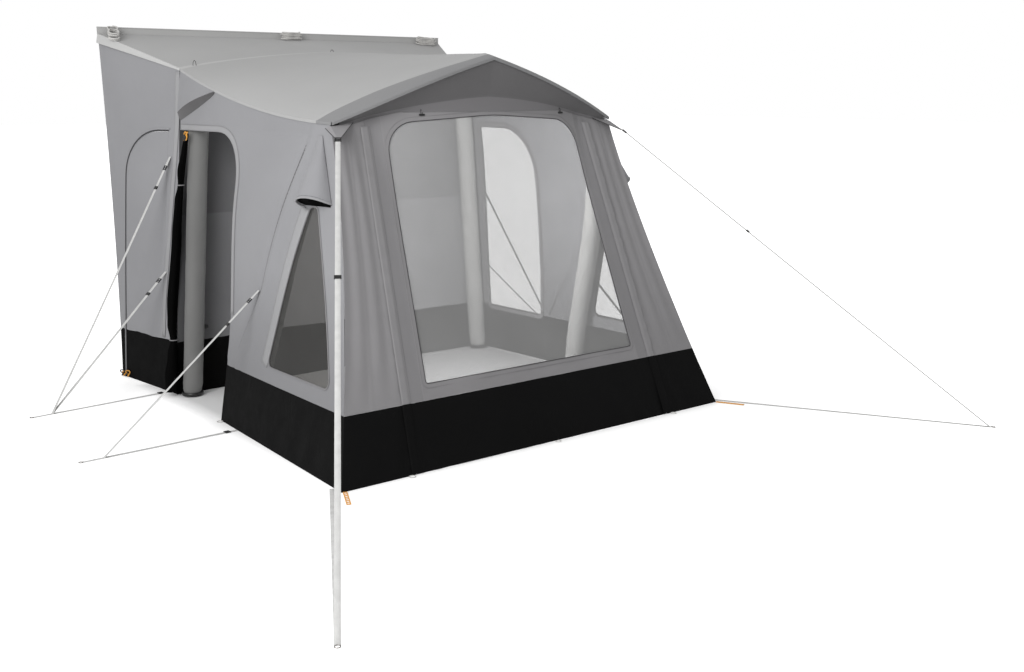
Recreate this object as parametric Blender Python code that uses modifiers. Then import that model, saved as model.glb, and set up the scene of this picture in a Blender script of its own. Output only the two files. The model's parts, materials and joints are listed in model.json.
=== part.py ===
"""Inflatable driveaway awning: a single room on two air beams with a short tunnel to a van.

Frame while modelling: X across the front, Y from the front base line towards the van, Z up.
The whole model hangs on one empty that moves the middle of its footprint to the world origin.
"""
import math

import bmesh
import bpy
from mathutils import Matrix, Vector

# Driving dimensions of the shell, in metres.
BASE_HALF = 1.300            # half width of the front base line
REAR_HALF = 1.171            # half width of the room at the rear arch, on the ground
MAIN_DEPTH = 2.203           # front base line to the rear arch
EAVE_FRONT_HALF = 0.9425     # half width at the front roof corners
EAVE_FRONT_Z = 1.688         # height of the front roof corners
FRONT_RUN = 0.620            # how far the front face leans back up to the roof corners
CORNER_FLARE = 1.45          # 1 is a straight front corner, more draws its middle in
REAR_EAVE_HALF = 1.032
REAR_EAVE_Z = 1.970
WALL_SWELL = 0.056           # how far the side walls swell out over the beams
SWELL_TOP_Z = 1.620          # above this the walls are flat again
RIDGE_FRONT_Z = 2.018
RIDGE_REAR_Z = 2.085
LIP_Y = 0.500                # roof's front edge at the ridge
LIP_SWEEP = 0.105            # how much further back that edge lies at the corners
MUD_HEIGHT = 0.326
SEAM_CREST_Z = 1.810         # top of the arched seam on the front face
FOLD_Z = 1.735               # line on which the front panel folds up
FOLD_HALF = 0.535            # the visor's edge is straight this far either side of the middle
FRONT_BULGE = 0.110
BULGE_HALF = 0.700
BULGE_START_Z = 1.200

# Driving dimensions of the tunnel.
VAN_Y = 2.845
VAN_FOOT_Y = 2.905
VAN_EAVE_HALF = 1.280
VAN_FOOT_HALF = 1.253
VAN_Z = 2.185
BEADING_HEIGHT = 0.036
BEAD_RADIUS = 0.004

# Openings and panels.
WINDOW_BOTTOM_Z = 0.405
WINDOW_TOP_Z = 1.708
WINDOW_BOTTOM_HALF = 0.711
WINDOW_TOP_HALF = 0.632
WINDOW_CORNER = 0.170
SIDE_WINDOW = ((0.300, 0.414), (0.955, 0.414), (0.684, 1.264), (0.630, 1.268))
DOOR_FRONT_Y = 1.435
DOOR_REAR_Y = 2.185
DOOR_TOP_Z = 1.611
DOOR_TOE = 0.065             # how far the door's front edge steps back at the ground
DOOR_KNEE_Z = 0.620          # below this it starts to step back
DOOR_CORNER = 0.300
DOOR_BORDER = 0.030          # grey border round the right door's window
DOOR_REAR_BORDER = 0.110     # and at the window's rear edge
TUNNEL_DOOR_TOP_Z = 1.600
TUNNEL_DOOR_HINGE_TOP_Y = 2.300
TUNNEL_DOOR_HINGE_FOOT_Y = 2.400
TUNNEL_DOOR_REAR_TOP_Y = 2.655
TUNNEL_DOOR_REAR_FOOT_Y = 2.840
TUNNEL_DOOR_CORNER = 0.310
ZIP_FOOT_HALF = 0.878        # the front zips run from here on the ground
ZIP_LEAN = 0.077             # and lean in by this much per metre of height
FLAP_WIDTH = 0.054
FLAP_TOP_Z = 1.660

# Thicknesses and clearances.
FABRIC = 0.003
GAP = 0.0003
EDGE_GAP = 0.0008            # clearance round a panel that swings
GROUND_GAP = 0.002
HEM = 0.012                  # roof edge that laps down over the walls and the front face
FILM_LAP = 0.014             # window film behind the fabric round it
FILM_CLEAR = 0.0030          # the front film behind its bulging panel
SEAM_GAP = 0.0016            # where two sheets meet at an angle
EAVE_DROP = 0.007            # the walls stop this far under the roof's edge, behind its hem

# Air beams.
BEAM_RADIUS = 0.060
BEAM_INSET = BEAM_RADIUS + 4 * FABRIC         # beam's axis behind the fabric's outer face
BOOT_RADIUS = BEAM_INSET - FABRIC - 6 * GAP
FRONT_LEG_FOOT_Y = 1.150
FRONT_LEG_TOP_Y = 0.680
FRONT_LEG_TOP_Z = 1.440
LEFT_LEG_SETBACK = 0.115     # as pitched, the left front leg stands further back than the right
REAR_LEG_FOOT_Y = 2.130
REAR_LEG_TOP_Y = 2.110
REAR_LEG_TOP_Z = 1.640
FRONT_ARCH_HALF = 0.740      # half width of the front beam's arch, between its bends
FRONT_ARCH_Y = 0.650
FRONT_ARCH_SWEEP = 0.080
REAR_ARCH_HALF = 0.800
BOOT_HEIGHT = 0.024
VALVE_Z = 0.420
VALVE_RADIUS = 0.016
VALVE_LENGTH = 0.014
CAP_LENGTH = 0.010

# Storm straps.
STRAP_WIDTH = 0.025
STRAP_THICK = 0.0016
BUCKLE_LENGTH = 0.030
BUCKLE_THICK = 0.006
SLIDER_LENGTH = 0.020
SLIDER_RIM = 0.004
RING_RADIUS = 0.011
RING_WIRE = 0.0022
FRONT_PEG = (2.100, -1.332)
MID_PEG = (2.100, 1.214)
REAR_PEG = (2.040, 2.220)

LEFT, RIGHT = -1.0, 1.0
SIDES = ((LEFT, "left"), (RIGHT, "right"))
LEAN = FRONT_RUN / EAVE_FRONT_Z
LEAN_ANGLE = math.atan(LEAN)
BACK_EDGE_Y = VAN_FOOT_Y - SEAM_GAP
FRONT_EDGE_Y = FRONT_PEG[1] - RING_RADIUS - RING_WIRE

for old in list(bpy.data.objects):
    bpy.data.objects.remove(old, do_unlink=True)

awning = bpy.data.collections.new("driveaway_awning")
bpy.context.scene.collection.children.link(awning)
cutters = bpy.data.collections.new("cutters")
bpy.context.scene.collection.children.link(cutters)

frame = bpy.data.objects.new("awning_frame", None)
frame.location = (0.0, -(FRONT_EDGE_Y + BACK_EDGE_Y) / 2, 0.0)
awning.objects.link(frame)


# Materials

def material(name, colour, roughness, metallic=0.0, alpha=1.0):
    made = bpy.data.materials.new(name)
    made.use_nodes = True
    shader = made.node_tree.nodes["Principled BSDF"]
    shader.inputs["Base Color"].default_value = (*colour, 1.0)
    shader.inputs["Roughness"].default_value = roughness
    shader.inputs["Metallic"].default_value = metallic
    shader.inputs["Alpha"].default_value = alpha
    return made


ROOF_CLOTH = material("roof_cloth", (0.42, 0.42, 0.41), 0.70)
WALL_CLOTH = material("wall_cloth", (0.35, 0.35, 0.36), 0.72)
DARK_CLOTH = material("dark_cloth", (0.12, 0.12, 0.12), 0.75)
MUD_CLOTH = material("mud_cloth", (0.008, 0.008, 0.009), 0.55)
FILM = material("window_film", (0.75, 0.77, 0.77), 0.08, alpha=0.35)
BEAM_SKIN = material("beam_skin", (0.42, 0.42, 0.40), 0.60)
WEBBING = material("pale_webbing", (0.72, 0.72, 0.71), 0.80)
LADDER_WEBBING = material("orange_webbing", (0.80, 0.38, 0.06), 0.70)
PLASTIC = material("black_plastic", (0.012, 0.012, 0.012), 0.35)
STEEL = material("peg_steel", (0.45, 0.44, 0.43), 0.35, metallic=1.0)
CORD = material("pale_cord", (0.62, 0.61, 0.58), 0.75)


# Surfaces of the shell

def mix(a, b, t):
    return a + (b - a) * t


def clamp(value, low=0.0, high=1.0):
    return max(low, min(high, value))


def front_corner_x(z):
    rise = clamp(1.0 - z / EAVE_FRONT_Z)
    return EAVE_FRONT_HALF + (BASE_HALF - EAVE_FRONT_HALF) * rise ** CORNER_FLARE


def front_corner_y(z):
    return LEAN * min(z, EAVE_FRONT_Z)


def rear_leg_x(z):
    return mix(REAR_HALF, REAR_EAVE_HALF, z / REAR_EAVE_Z)


def wall_swell(t, z):
    """How far the beams push the side wall out, between the front corner (0) and the rear (1)."""
    if not 0.0 < t < 1.0 or not 0.0 < z < SWELL_TOP_Z:
        return 0.0
    height = math.sin(math.pi * (z / SWELL_TOP_Z) ** 2.14)
    return WALL_SWELL * height * math.sin(math.pi * t ** 0.8) * min(1.0, 8.0 * (1.0 - t))


def wall_x(y, z):
    start = front_corner_y(z)
    t = (y - start) / (MAIN_DEPTH - start)
    return mix(front_corner_x(z), rear_leg_x(z), t) + wall_swell(t, z)


def eave_z(y):
    t = clamp((y - FRONT_RUN) / (MAIN_DEPTH - FRONT_RUN))
    return mix(EAVE_FRONT_Z, REAR_EAVE_Z, 0.17 * t + 0.83 * t * t)


def van_y(z):
    return mix(VAN_Y, VAN_FOOT_Y, clamp(1.0 - z / VAN_Z) ** 3)


def tunnel_x(y, z):
    edge = van_y(z)
    edge_x = mix(VAN_FOOT_HALF, VAN_EAVE_HALF, clamp(z / VAN_Z, 0.0, 1.1) ** 2)
    return mix(rear_leg_x(z), edge_x, (y - MAIN_DEPTH) / (edge - MAIN_DEPTH))


def tunnel_eave_z(y):
    return mix(REAR_EAVE_Z, VAN_Z, clamp((y - MAIN_DEPTH) / (VAN_Y - MAIN_DEPTH)))


def front_y(x, z):
    swell = clamp(1.0 - (x / BULGE_HALF) ** 2)
    ramp = clamp((z - BULGE_START_Z) / (FOLD_Z - BULGE_START_Z)) ** 1.5
    return LEAN * z - FRONT_BULGE * swell * ramp


def arch_seam_z(x):
    return SEAM_CREST_Z - 0.050 * abs(x) - 0.115 * x * x


def lip_y(x):
    return LIP_Y + LIP_SWEEP * (abs(x) / EAVE_FRONT_HALF) ** 3


def lip_z(x):
    return RIDGE_FRONT_Z - 0.270 * abs(x) - 0.092 * x * x


def rear_arch_z(x):
    return RIDGE_REAR_Z - 0.050 * abs(x) - 0.052 * x * x


LIP_DROP = 0.018
LIP_ROUND = 0.100
SHOULDER = 7                 # power of the curve that rounds the roof's shoulders


def roof_edge_x(y):
    return wall_x(y, eave_z(y)) + FABRIC + SEAM_GAP / 2


def lip_rounding(x, y, t):
    """Height of the roof over a straight run from its front edge to the rear arch."""
    return LIP_DROP * (1.0 - t - clamp(1.0 - (y - lip_y(x)) / LIP_ROUND) ** 2)


def roof_z(x, y):
    front = lip_y(x)
    t = clamp((y - front) / (MAIN_DEPTH - front))
    edge = roof_edge_x(y)
    shoulder = clamp(abs(x) / edge) ** SHOULDER
    arch = mix(lip_z(x), rear_arch_z(x), t) + lip_rounding(x, y, t) * (1.0 - shoulder)
    edge_t = clamp((y - lip_y(edge)) / (MAIN_DEPTH - lip_y(edge)))
    drop = mix(lip_z(edge), rear_arch_z(edge), edge_t) - eave_z(y)
    return arch - drop * shoulder


def wall_normal(side, surface, y, z):
    step = 0.01
    along = Vector((side * (surface(y + step, z) - surface(y, z)), step, 0.0))
    up = Vector((side * (surface(y, z + step) - surface(y, z)), 0.0, step))
    normal = along.cross(up).normalized()
    return normal if normal.x * side > 0 else -normal


FRONT_NORMAL = Vector((0.0, -math.cos(LEAN_ANGLE), math.sin(LEAN_ANGLE)))


# Building tools

def add_object(name, mesh, look, collection=awning):
    made = bpy.data.objects.new(name, mesh)
    if look is not None:
        made.data.materials.append(look)
    collection.objects.link(made)
    made.parent = frame
    return made


def finish_bmesh(name, bm, look, smooth=None):
    mesh = bpy.data.meshes.new(name)
    bm.to_mesh(mesh)
    bm.free()
    made = add_object(name, mesh, look)
    if smooth is not None:
        mesh.shade_smooth()
        mesh.set_sharp_from_angle(angle=math.radians(smooth))
    return made


def add_grid(bm, surface, across, up, outward):
    """Adds a grid to bm with each point at surface(u, v), facing outward."""
    before = set(bm.verts)
    faces_before = set(bm.faces)
    bmesh.ops.create_grid(bm, x_segments=across, y_segments=up, size=0.5)
    for vert in bm.verts:
        if vert not in before:
            vert.co = Vector(surface(vert.co.x + 0.5, vert.co.y + 0.5))
    faces = [face for face in bm.faces if face not in faces_before]
    for face in faces:
        face.normal_update()
    facing = sum(face.normal.dot(outward) * face.calc_area() for face in faces)
    if facing < 0:
        bmesh.ops.reverse_faces(bm, faces=faces)


def thicken(made, thickness=FABRIC):
    shell = made.modifiers.new("thickness", "SOLIDIFY")
    shell.thickness = thickness
    shell.offset = -1.0
    shell.use_even_offset = True
    shell.use_quality_normals = True
    return made


def cloth(name, look, surface, across, up, outward, thickness=FABRIC):
    """A fabric panel: a grid on surface(u, v), thickened away from its outward side."""
    bm = bmesh.new()
    add_grid(bm, surface, across, up, Vector(outward))
    return thicken(finish_bmesh(name, bm, look, smooth=50), thickness)


def outline_prism(name, points, axes, depth, centre):
    """A closed prism over a flat outline; axes maps its plane and its depth to world axes."""
    curve = bpy.data.curves.new(name, "CURVE")
    curve.dimensions = "2D"
    curve.fill_mode = "BOTH"
    curve.extrude = depth / 2
    spline = curve.splines.new("POLY")
    spline.points.add(len(points) - 1)
    for point, (a, b) in zip(spline.points, points):
        point.co = (a, b, 0.0, 1.0)
    spline.use_cyclic_u = True
    flat = bpy.data.objects.new(name, curve)
    cutters.objects.link(flat)
    flat.matrix_world = Matrix.Translation(centre) @ axes
    bpy.context.view_layer.update()
    evaluated = flat.evaluated_get(bpy.context.evaluated_depsgraph_get())
    mesh = bpy.data.meshes.new_from_object(evaluated)
    bm = bmesh.new()
    bm.from_mesh(mesh)
    bmesh.ops.remove_doubles(bm, verts=bm.verts, dist=0.00001)
    bmesh.ops.recalc_face_normals(bm, faces=bm.faces)
    bm.to_mesh(mesh)
    bm.free()
    solid = bpy.data.objects.new(name, mesh)
    cutters.objects.link(solid)
    solid.parent = frame
    solid.matrix_local = flat.matrix_world.copy()
    solid.hide_render = True
    solid.display_type = "WIRE"
    bpy.data.objects.remove(flat, do_unlink=True)
    return solid


# Outlines drawn in Y and Z are carried to the side walls, those in X and Z to the front.
SIDE_AXES = Matrix(((0, 0, 1, 0), (1, 0, 0, 0), (0, 1, 0, 0), (0, 0, 0, 1)))
FRONT_AXES = Matrix(((1, 0, 0, 0), (0, 0, -1, 0), (0, 1, 0, 0), (0, 0, 0, 1)))
CUT_DEPTH = 1.2


def side_prism(name, side, points):
    return outline_prism(name, points, SIDE_AXES, CUT_DEPTH, Vector((side * BASE_HALF, 0, 0)))


def front_prism(name, points):
    return outline_prism(name, points, FRONT_AXES, 2 * CUT_DEPTH, Vector((0, CUT_DEPTH / 2, 0)))


def boolean(made, operation, tool):
    step = made.modifiers.new(operation.lower(), "BOOLEAN")
    step.operation = operation
    step.solver = "EXACT"
    step.object = tool
    return made


def move_to_cutters(tool):
    awning.objects.unlink(tool)
    cutters.objects.link(tool)
    tool.hide_render = True
    tool.display_type = "WIRE"


def join(made, tool):
    """Joins tool, which overlaps made, into it as one body."""
    move_to_cutters(tool)
    return boolean(made, "UNION", tool)


def rounded(points, radii, steps=6):
    """The outline with its corners rounded; radii has one value for each corner."""
    result = []
    count = len(points)
    for index, (corner, radius) in enumerate(zip(points, radii)):
        corner = Vector(corner)
        if radius <= 0:
            result.append(tuple(corner))
            continue
        before = (Vector(points[index - 1]) - corner).normalized()
        after = (Vector(points[(index + 1) % count]) - corner).normalized()
        half = before.angle(after) / 2
        reach = radius / math.tan(half)
        centre = corner + (before + after).normalized() * (radius / math.sin(half))
        start = corner + before * reach - centre
        end = corner + after * reach - centre
        turn = start.angle_signed(end)
        for step in range(steps + 1):
            angle = -turn * step / steps
            spun = Matrix.Rotation(angle, 2) @ start
            result.append(tuple(centre + spun))
    return result


def offset_outline(points, distance):
    """The outline moved outwards by distance, or inwards if it is negative."""
    area = sum(a[0] * b[1] - b[0] * a[1] for a, b in zip(points, points[1:] + points[:1]))
    sign = 1.0 if area > 0 else -1.0
    moved = []
    count = len(points)
    for index, point in enumerate(points):
        point = Vector(point)
        before = (point - Vector(points[index - 1])).normalized()
        after = (Vector(points[(index + 1) % count]) - point).normalized()
        normal_a = Vector((before.y, -before.x)) * sign
        normal_b = Vector((after.y, -after.x)) * sign
        bisector = (normal_a + normal_b).normalized()
        moved.append(tuple(point + bisector * distance / max(0.5, bisector.dot(normal_a))))
    return moved


def axes_matrix(origin, x_axis, y_axis, z_axis):
    turned = Matrix((x_axis, y_axis, z_axis)).transposed().to_4x4()
    return Matrix.Translation(origin) @ turned


def add_box(bm, size, matrix):
    bmesh.ops.create_cube(bm, size=1.0, matrix=matrix @ Matrix.Diagonal((*size, 1.0)))


def tube_object(name, points, radius, look, sides=2, radii=None):
    """A tube along points, closed at both ends; it becomes a mesh with its caps welded."""
    curve = bpy.data.curves.new(name, "CURVE")
    curve.dimensions = "3D"
    curve.bevel_depth = radius
    curve.bevel_resolution = sides
    curve.use_fill_caps = True
    spline = curve.splines.new("POLY")
    spline.points.add(len(points) - 1)
    for index, (point, place) in enumerate(zip(spline.points, points)):
        point.co = (*place, 1.0)
        point.radius = 1.0 if radii is None else radii[index]
    soft = bpy.data.objects.new(name + "_path", curve)
    cutters.objects.link(soft)
    bpy.context.view_layer.update()
    evaluated = soft.evaluated_get(bpy.context.evaluated_depsgraph_get())
    mesh = bpy.data.meshes.new_from_object(evaluated)
    bm = bmesh.new()
    bm.from_mesh(mesh)
    bmesh.ops.remove_doubles(bm, verts=bm.verts, dist=0.00001)
    bmesh.ops.recalc_face_normals(bm, faces=bm.faces)
    bm.to_mesh(mesh)
    bm.free()
    bpy.data.objects.remove(soft, do_unlink=True)
    mesh.name = name
    mesh.materials.clear()
    made = add_object(name, mesh, look)
    mesh.shade_smooth()
    mesh.set_sharp_from_angle(angle=math.radians(50))
    return made


def inner_share(u, columns):
    """-1 to 1 over the inner columns of a grid, and whether this is one of its edge columns."""
    column = round(u * columns)
    return clamp((column - 1) / (columns - 2)) * 2 - 1, column in (0, columns)


# Roof

def main_roof():
    columns = 22

    def surface(u, v):
        v = v ** 1.25
        s, edge_column = inner_share(u, columns)
        s = math.sin(s * math.pi / 2) * 0.35 + s * 0.65
        rear = MAIN_DEPTH - GAP / 2
        y = mix(lip_y(roof_edge_x(LIP_Y + LIP_SWEEP)), rear, v)
        x = s * roof_edge_x(y)
        y = mix(lip_y(x), rear, v)
        x = s * roof_edge_x(y)
        z = roof_z(x, y)
        if edge_column:
            z -= HEM
            x = math.copysign(wall_x(y, z) + FABRIC + SEAM_GAP / 2, x)
        return (x, y, z)

    cloth("main_roof", ROOF_CLOTH, surface, columns, 12, (0, 0, 1))


def tunnel_roof():
    columns = 14
    hem_drop = 0.055
    hem_flare = 0.012

    def surface(u, v):
        s, edge_column = inner_share(u, columns)
        y = mix(MAIN_DEPTH + GAP / 2, VAN_Y - 1.3 * SEAM_GAP, v)
        edge = tunnel_x(y, tunnel_eave_z(y)) + FABRIC + SEAM_GAP / 2
        x = s * edge
        z = mix(rear_arch_z(s * roof_edge_x(MAIN_DEPTH)), VAN_Z, v)
        z -= (mix(rear_arch_z(roof_edge_x(MAIN_DEPTH)), VAN_Z, v) - tunnel_eave_z(y)) * abs(s) ** SHOULDER
        if edge_column:
            z -= mix(HEM, hem_drop, v)
            x = math.copysign(tunnel_x(y, z) + FABRIC + SEAM_GAP / 2 + hem_flare * v, x)
        return (x, y, z)

    cloth("tunnel_roof", ROOF_CLOTH, surface, columns, 3, (0, 0, 1))


def van_beading():
    bm = bmesh.new()
    half = VAN_EAVE_HALF + FABRIC
    middle = Vector((0, VAN_Y + FABRIC / 2, VAN_Z + BEADING_HEIGHT / 2 - HEM / 2))
    add_box(bm, (2 * half, FABRIC, BEADING_HEIGHT + HEM), Matrix.Translation(middle))
    bead = Vector((0, VAN_Y + FABRIC / 2, VAN_Z + BEADING_HEIGHT + BEAD_RADIUS * 0.8))
    turned = Matrix.Translation(bead) @ Matrix.Rotation(math.pi / 2, 4, "Y")
    rod = bmesh.new()
    bmesh.ops.create_cone(rod, cap_ends=True, segments=12, radius1=BEAD_RADIUS, radius2=BEAD_RADIUS,
                          depth=2 * half, matrix=turned)
    join(finish_bmesh("van_beading", bm, DARK_CLOTH), finish_bmesh("bead_rod", rod, None))


def hem_z(x):
    """Lower edge of the visor's hem on the front face: straight over the panel that folds up."""
    return arch_seam_z(x) - HEM if abs(x) > FOLD_HALF else min(FOLD_Z, arch_seam_z(x) - HEM)


def front_visor():
    half = EAVE_FRONT_HALF - 0.045
    top_drop = 0.0048
    rows = 4
    face_rows = 1

    def surface(u, v):
        x = (2 * u - 1) * half
        row = round(v * rows)
        seam = Vector((x, front_y(x, arch_seam_z(x)), arch_seam_z(x)))
        if row < face_rows:
            z = mix(hem_z(x) + SEAM_GAP, arch_seam_z(x), row / face_rows)
            return (x, front_y(x, z), z)
        high = Vector((x, lip_y(x) + 0.002, lip_z(x) - top_drop))
        return seam.lerp(high, (row - face_rows) / (rows - face_rows))

    cloth("front_visor", DARK_CLOTH, surface, 22, rows, (0, -1, 0))


# Front face

def zip_x(z):
    return ZIP_FOOT_HALF - ZIP_LEAN * z


def front_window_outline():
    corners = [(-WINDOW_BOTTOM_HALF, WINDOW_BOTTOM_Z), (WINDOW_BOTTOM_HALF, WINDOW_BOTTOM_Z),
               (WINDOW_TOP_HALF, WINDOW_TOP_Z - 0.035), (0.0, WINDOW_TOP_Z + 0.004),
               (-WINDOW_TOP_HALF, WINDOW_TOP_Z - 0.035)]
    return rounded(corners, [0.012, 0.012, WINDOW_CORNER, 1.5, WINDOW_CORNER])


def front_centre():
    window = front_window_outline()
    opening = front_prism("front_window_cut", window)

    columns = 18

    def panel(u, v):
        s, edge_column = inner_share(u, columns)
        z = mix(MUD_HEIGHT, FOLD_Z, v)
        for _ in range(2):
            half = zip_x(z) - (EDGE_GAP if edge_column else 0.6 * FLAP_WIDTH)
            z = mix(MUD_HEIGHT + GAP, hem_z(s * half) - EDGE_GAP, v)
        x = s * (zip_x(z) - (EDGE_GAP if edge_column else 0.6 * FLAP_WIDTH))
        return (x, front_y(x, z), z)

    boolean(cloth("front_panel", WALL_CLOTH, panel, columns, 11, (0, -1, 0)), "DIFFERENCE", opening)

    def film(u, v):
        x = (2 * u - 1) * (WINDOW_BOTTOM_HALF + 2 * FILM_LAP)
        z = mix(WINDOW_BOTTOM_Z - 2 * FILM_LAP, FOLD_Z - EDGE_GAP, v)
        return Vector((x, front_y(x, z), z)) - FRONT_NORMAL * (FABRIC + FILM_CLEAR)

    keep = front_prism("front_film_keep", offset_outline(window, FILM_LAP))
    sheet = cloth("front_window", FILM, film, 12, 9, (0, -1, 0), thickness=FABRIC / 2)
    boolean(sheet, "INTERSECT", keep)

    def mudwall(u, v):
        z = mix(GROUND_GAP, MUD_HEIGHT - GAP, v)
        x = (2 * u - 1) * (zip_x(z) - EDGE_GAP)
        return (x, front_y(x, z), z)

    lower = cloth("front_mudwall", MUD_CLOTH, mudwall, 8, 2, (0, -1, 0))
    join(lower, peg_loop("middle_peg_loop", 0.026, front_y(0, GROUND_GAP), (0, -1), GROUND_GAP))


LOOP_RADIUS = 0.016
LOOP_CORD = 0.002


def peg_loop(name, x, y, away, height=0.0):
    """A cord loop lying on the ground, sewn into the foot of the wall at x, y."""
    reach = LOOP_RADIUS + LOOP_CORD - FABRIC * 0.8
    centre = Vector((x + away[0] * reach, y + away[1] * reach, height + LOOP_CORD))
    return ring_object(name, centre, LOOP_RADIUS, LOOP_CORD, CORD)


FLAP_RISE = 0.007            # room for the zip and its slider under the flap


def front_flaps():
    for side, word in SIDES:
        def flap(u, v, side=side):
            z = mix(0.012, FLAP_TOP_Z, v)
            x = side * (zip_x(z) + (u - 0.5) * FLAP_WIDTH)
            rise = FABRIC + GAP + FLAP_RISE * clamp(u * 4)
            return Vector((x, front_y(x, z), z)) + FRONT_NORMAL * rise

        cloth("front_zip_flap_" + word, WALL_CLOTH, flap, 4, 4, (0, -1, 0))


CORNER_SHARE = 0.4           # share of the mud wall's columns that lie on the front face


def corner_panels():
    for side, word in SIDES:
        def panel(u, v, side=side):
            z_zip = mix(MUD_HEIGHT, arch_seam_z(0.75), v)
            x = mix(zip_x(z_zip) + GAP, front_corner_x(z_zip), u)
            z = mix(MUD_HEIGHT + GAP, arch_seam_z(x) - HEM - GAP, v)
            x = mix(zip_x(z) + GAP, front_corner_x(z), u)
            return (side * x, front_y(x, z), z)

        cloth("front_corner_panel_" + word, WALL_CLOTH, panel, 4, 12, (0, -1, 0))


def mudwalls():
    """One black skirt on each side, from the front zip round the corner to the door."""
    for side, word in SIDES:
        def surface(u, v, side=side):
            z = mix(0.0, MUD_HEIGHT - 2 * GAP, v)
            corner_y = front_corner_y(z)
            if u <= CORNER_SHARE:
                x = mix(zip_x(z) + GAP, front_corner_x(z), u / CORNER_SHARE)
                return (side * x, corner_y, z)
            y = mix(corner_y, door_front_y(z), (u - CORNER_SHARE) / (1 - CORNER_SHARE))
            return (side * wall_x(y, z), y, z)

        skirt = cloth("mudwall_" + word, MUD_CLOTH, surface, 10, 3, (side, -0.3, 0))
        join(skirt, peg_loop("front_peg_loop_" + word, side * (zip_x(0) + 0.035), 0.0, (0, -1)))
        loop_y = door_front_y(0.0) - 0.022
        join(skirt, peg_loop("side_peg_loop_" + word, side * wall_x(loop_y, 0), loop_y, (side, 0)))


ZIP_SLIDER = (0.0105, 0.024, 0.0052)      # width, length and depth of a zip slider
SLIDER_START_Z = 0.030


def zip_sliders():
    """Each rides on the corner panel's edge, under the flap."""
    for side, word in SIDES:
        width, length, depth = ZIP_SLIDER
        along = Vector((-side * ZIP_LEAN, LEAN, 1.0)).normalized()
        outward = (FRONT_NORMAL - along * FRONT_NORMAL.dot(along)).normalized()
        across = along.cross(outward).normalized()
        foot = Vector((side * zip_x(SLIDER_START_Z), LEAN * SLIDER_START_Z, SLIDER_START_Z))
        middle = foot + outward * (depth / 2 + GAP)
        middle += across * math.copysign(width / 2 + 0.001, across.x * side)
        body = bmesh.new()
        add_box(body, (width, length, depth), axes_matrix(middle, across, along, outward))
        finish_bmesh("front_zip_slider_" + word, body, PLASTIC)


# Side walls of the room

def side_window_outline():
    return rounded(list(SIDE_WINDOW), [0.03, 0.03, 0.03, 0.03], steps=3)


def door_front_y(z):
    return DOOR_FRONT_Y + DOOR_TOE * clamp((DOOR_KNEE_Z - z) / (DOOR_KNEE_Z + 0.1))


def door_outline(bottom=-0.1):
    """The door opening, down to a level below the ground or just above it."""
    corners = [(door_front_y(bottom), bottom), (DOOR_REAR_Y, bottom), (DOOR_REAR_Y, DOOR_TOP_Z),
               (DOOR_FRONT_Y, DOOR_TOP_Z), (DOOR_FRONT_Y, DOOR_KNEE_Z)]
    return rounded(corners, [0, 0, 0.012, DOOR_CORNER, 0], steps=8)


def side_walls():
    behind_front = (FABRIC + GAP) / math.cos(LEAN_ANGLE) + GAP
    film_outline = offset_outline(side_window_outline(), FILM_LAP)
    for side, word in SIDES:
        def wall(u, v, side=side):
            z_front = mix(MUD_HEIGHT, EAVE_FRONT_Z, v)
            y = mix(front_corner_y(z_front) + behind_front, MAIN_DEPTH - GAP, u)
            z = mix(MUD_HEIGHT + GAP, eave_z(y) - EAVE_DROP, v)
            y = mix(front_corner_y(z) + behind_front, MAIN_DEPTH - GAP, u)
            z = mix(MUD_HEIGHT + GAP, eave_z(y) - EAVE_DROP, v)
            return (side * wall_x(y, z), y, z)

        sheet = cloth("side_wall_" + word, WALL_CLOTH, wall, 20, 14, (side, 0, 0))
        boolean(sheet, "DIFFERENCE", side_prism("side_window_cut_" + word, side, side_window_outline()))
        rear = [(MAIN_DEPTH + 0.1, -0.1), (MAIN_DEPTH + 0.1, DOOR_TOP_Z)]
        toe, *front = [point for point in door_outline() if point[0] < DOOR_REAR_Y - 0.02]
        opening = rear + front + [toe]
        boolean(sheet, "DIFFERENCE", side_prism("door_cut_" + word, side, opening))

        def film(u, v, side=side):
            y = mix(0.20, 1.12, u)
            z = mix(0.36, 1.31, v)
            return (side * (wall_x(y, z) - (FABRIC + GAP) * 1.4), y, z)

        pane = cloth("side_window_" + word, FILM, film, 10, 10, (side, 0, 0), thickness=FABRIC / 2)
        boolean(pane, "INTERSECT", side_prism("side_film_keep_" + word, side, film_outline))


COWL_TOP = (0.700, 1.610)
COWL_MOUTH = (0.630, 1.278)
COWL_TOP_HALF = 0.020
COWL_MOUTH_HALF = 0.115
COWL_MOUTH_ARCH = 0.045      # the mouth's rim stands higher where it is furthest out
COWL_STAND_OFF = 0.100


def vent_cowls():
    """A long half cone over the top of each side window, from the eave down to its open mouth."""
    for side, word in SIDES:
        def cowl(u, v, side=side):
            swell = math.sin(math.pi * clamp(u))
            y = mix(COWL_TOP[0], COWL_MOUTH[0], v) - mix(COWL_TOP_HALF, COWL_MOUTH_HALF, v) * math.cos(math.pi * u)
            z = mix(COWL_TOP[1], COWL_MOUTH[1] + COWL_MOUTH_ARCH * swell, v)
            out = COWL_STAND_OFF * v * swell ** 0.7
            return (side * (wall_x(y, z) + FABRIC + GAP * mix(8, 5, v) + out), y, z)

        cloth("vent_cowl_" + word, WALL_CLOTH, cowl, 12, 8, (side, 0, 0))


# Doors of the room

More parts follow.
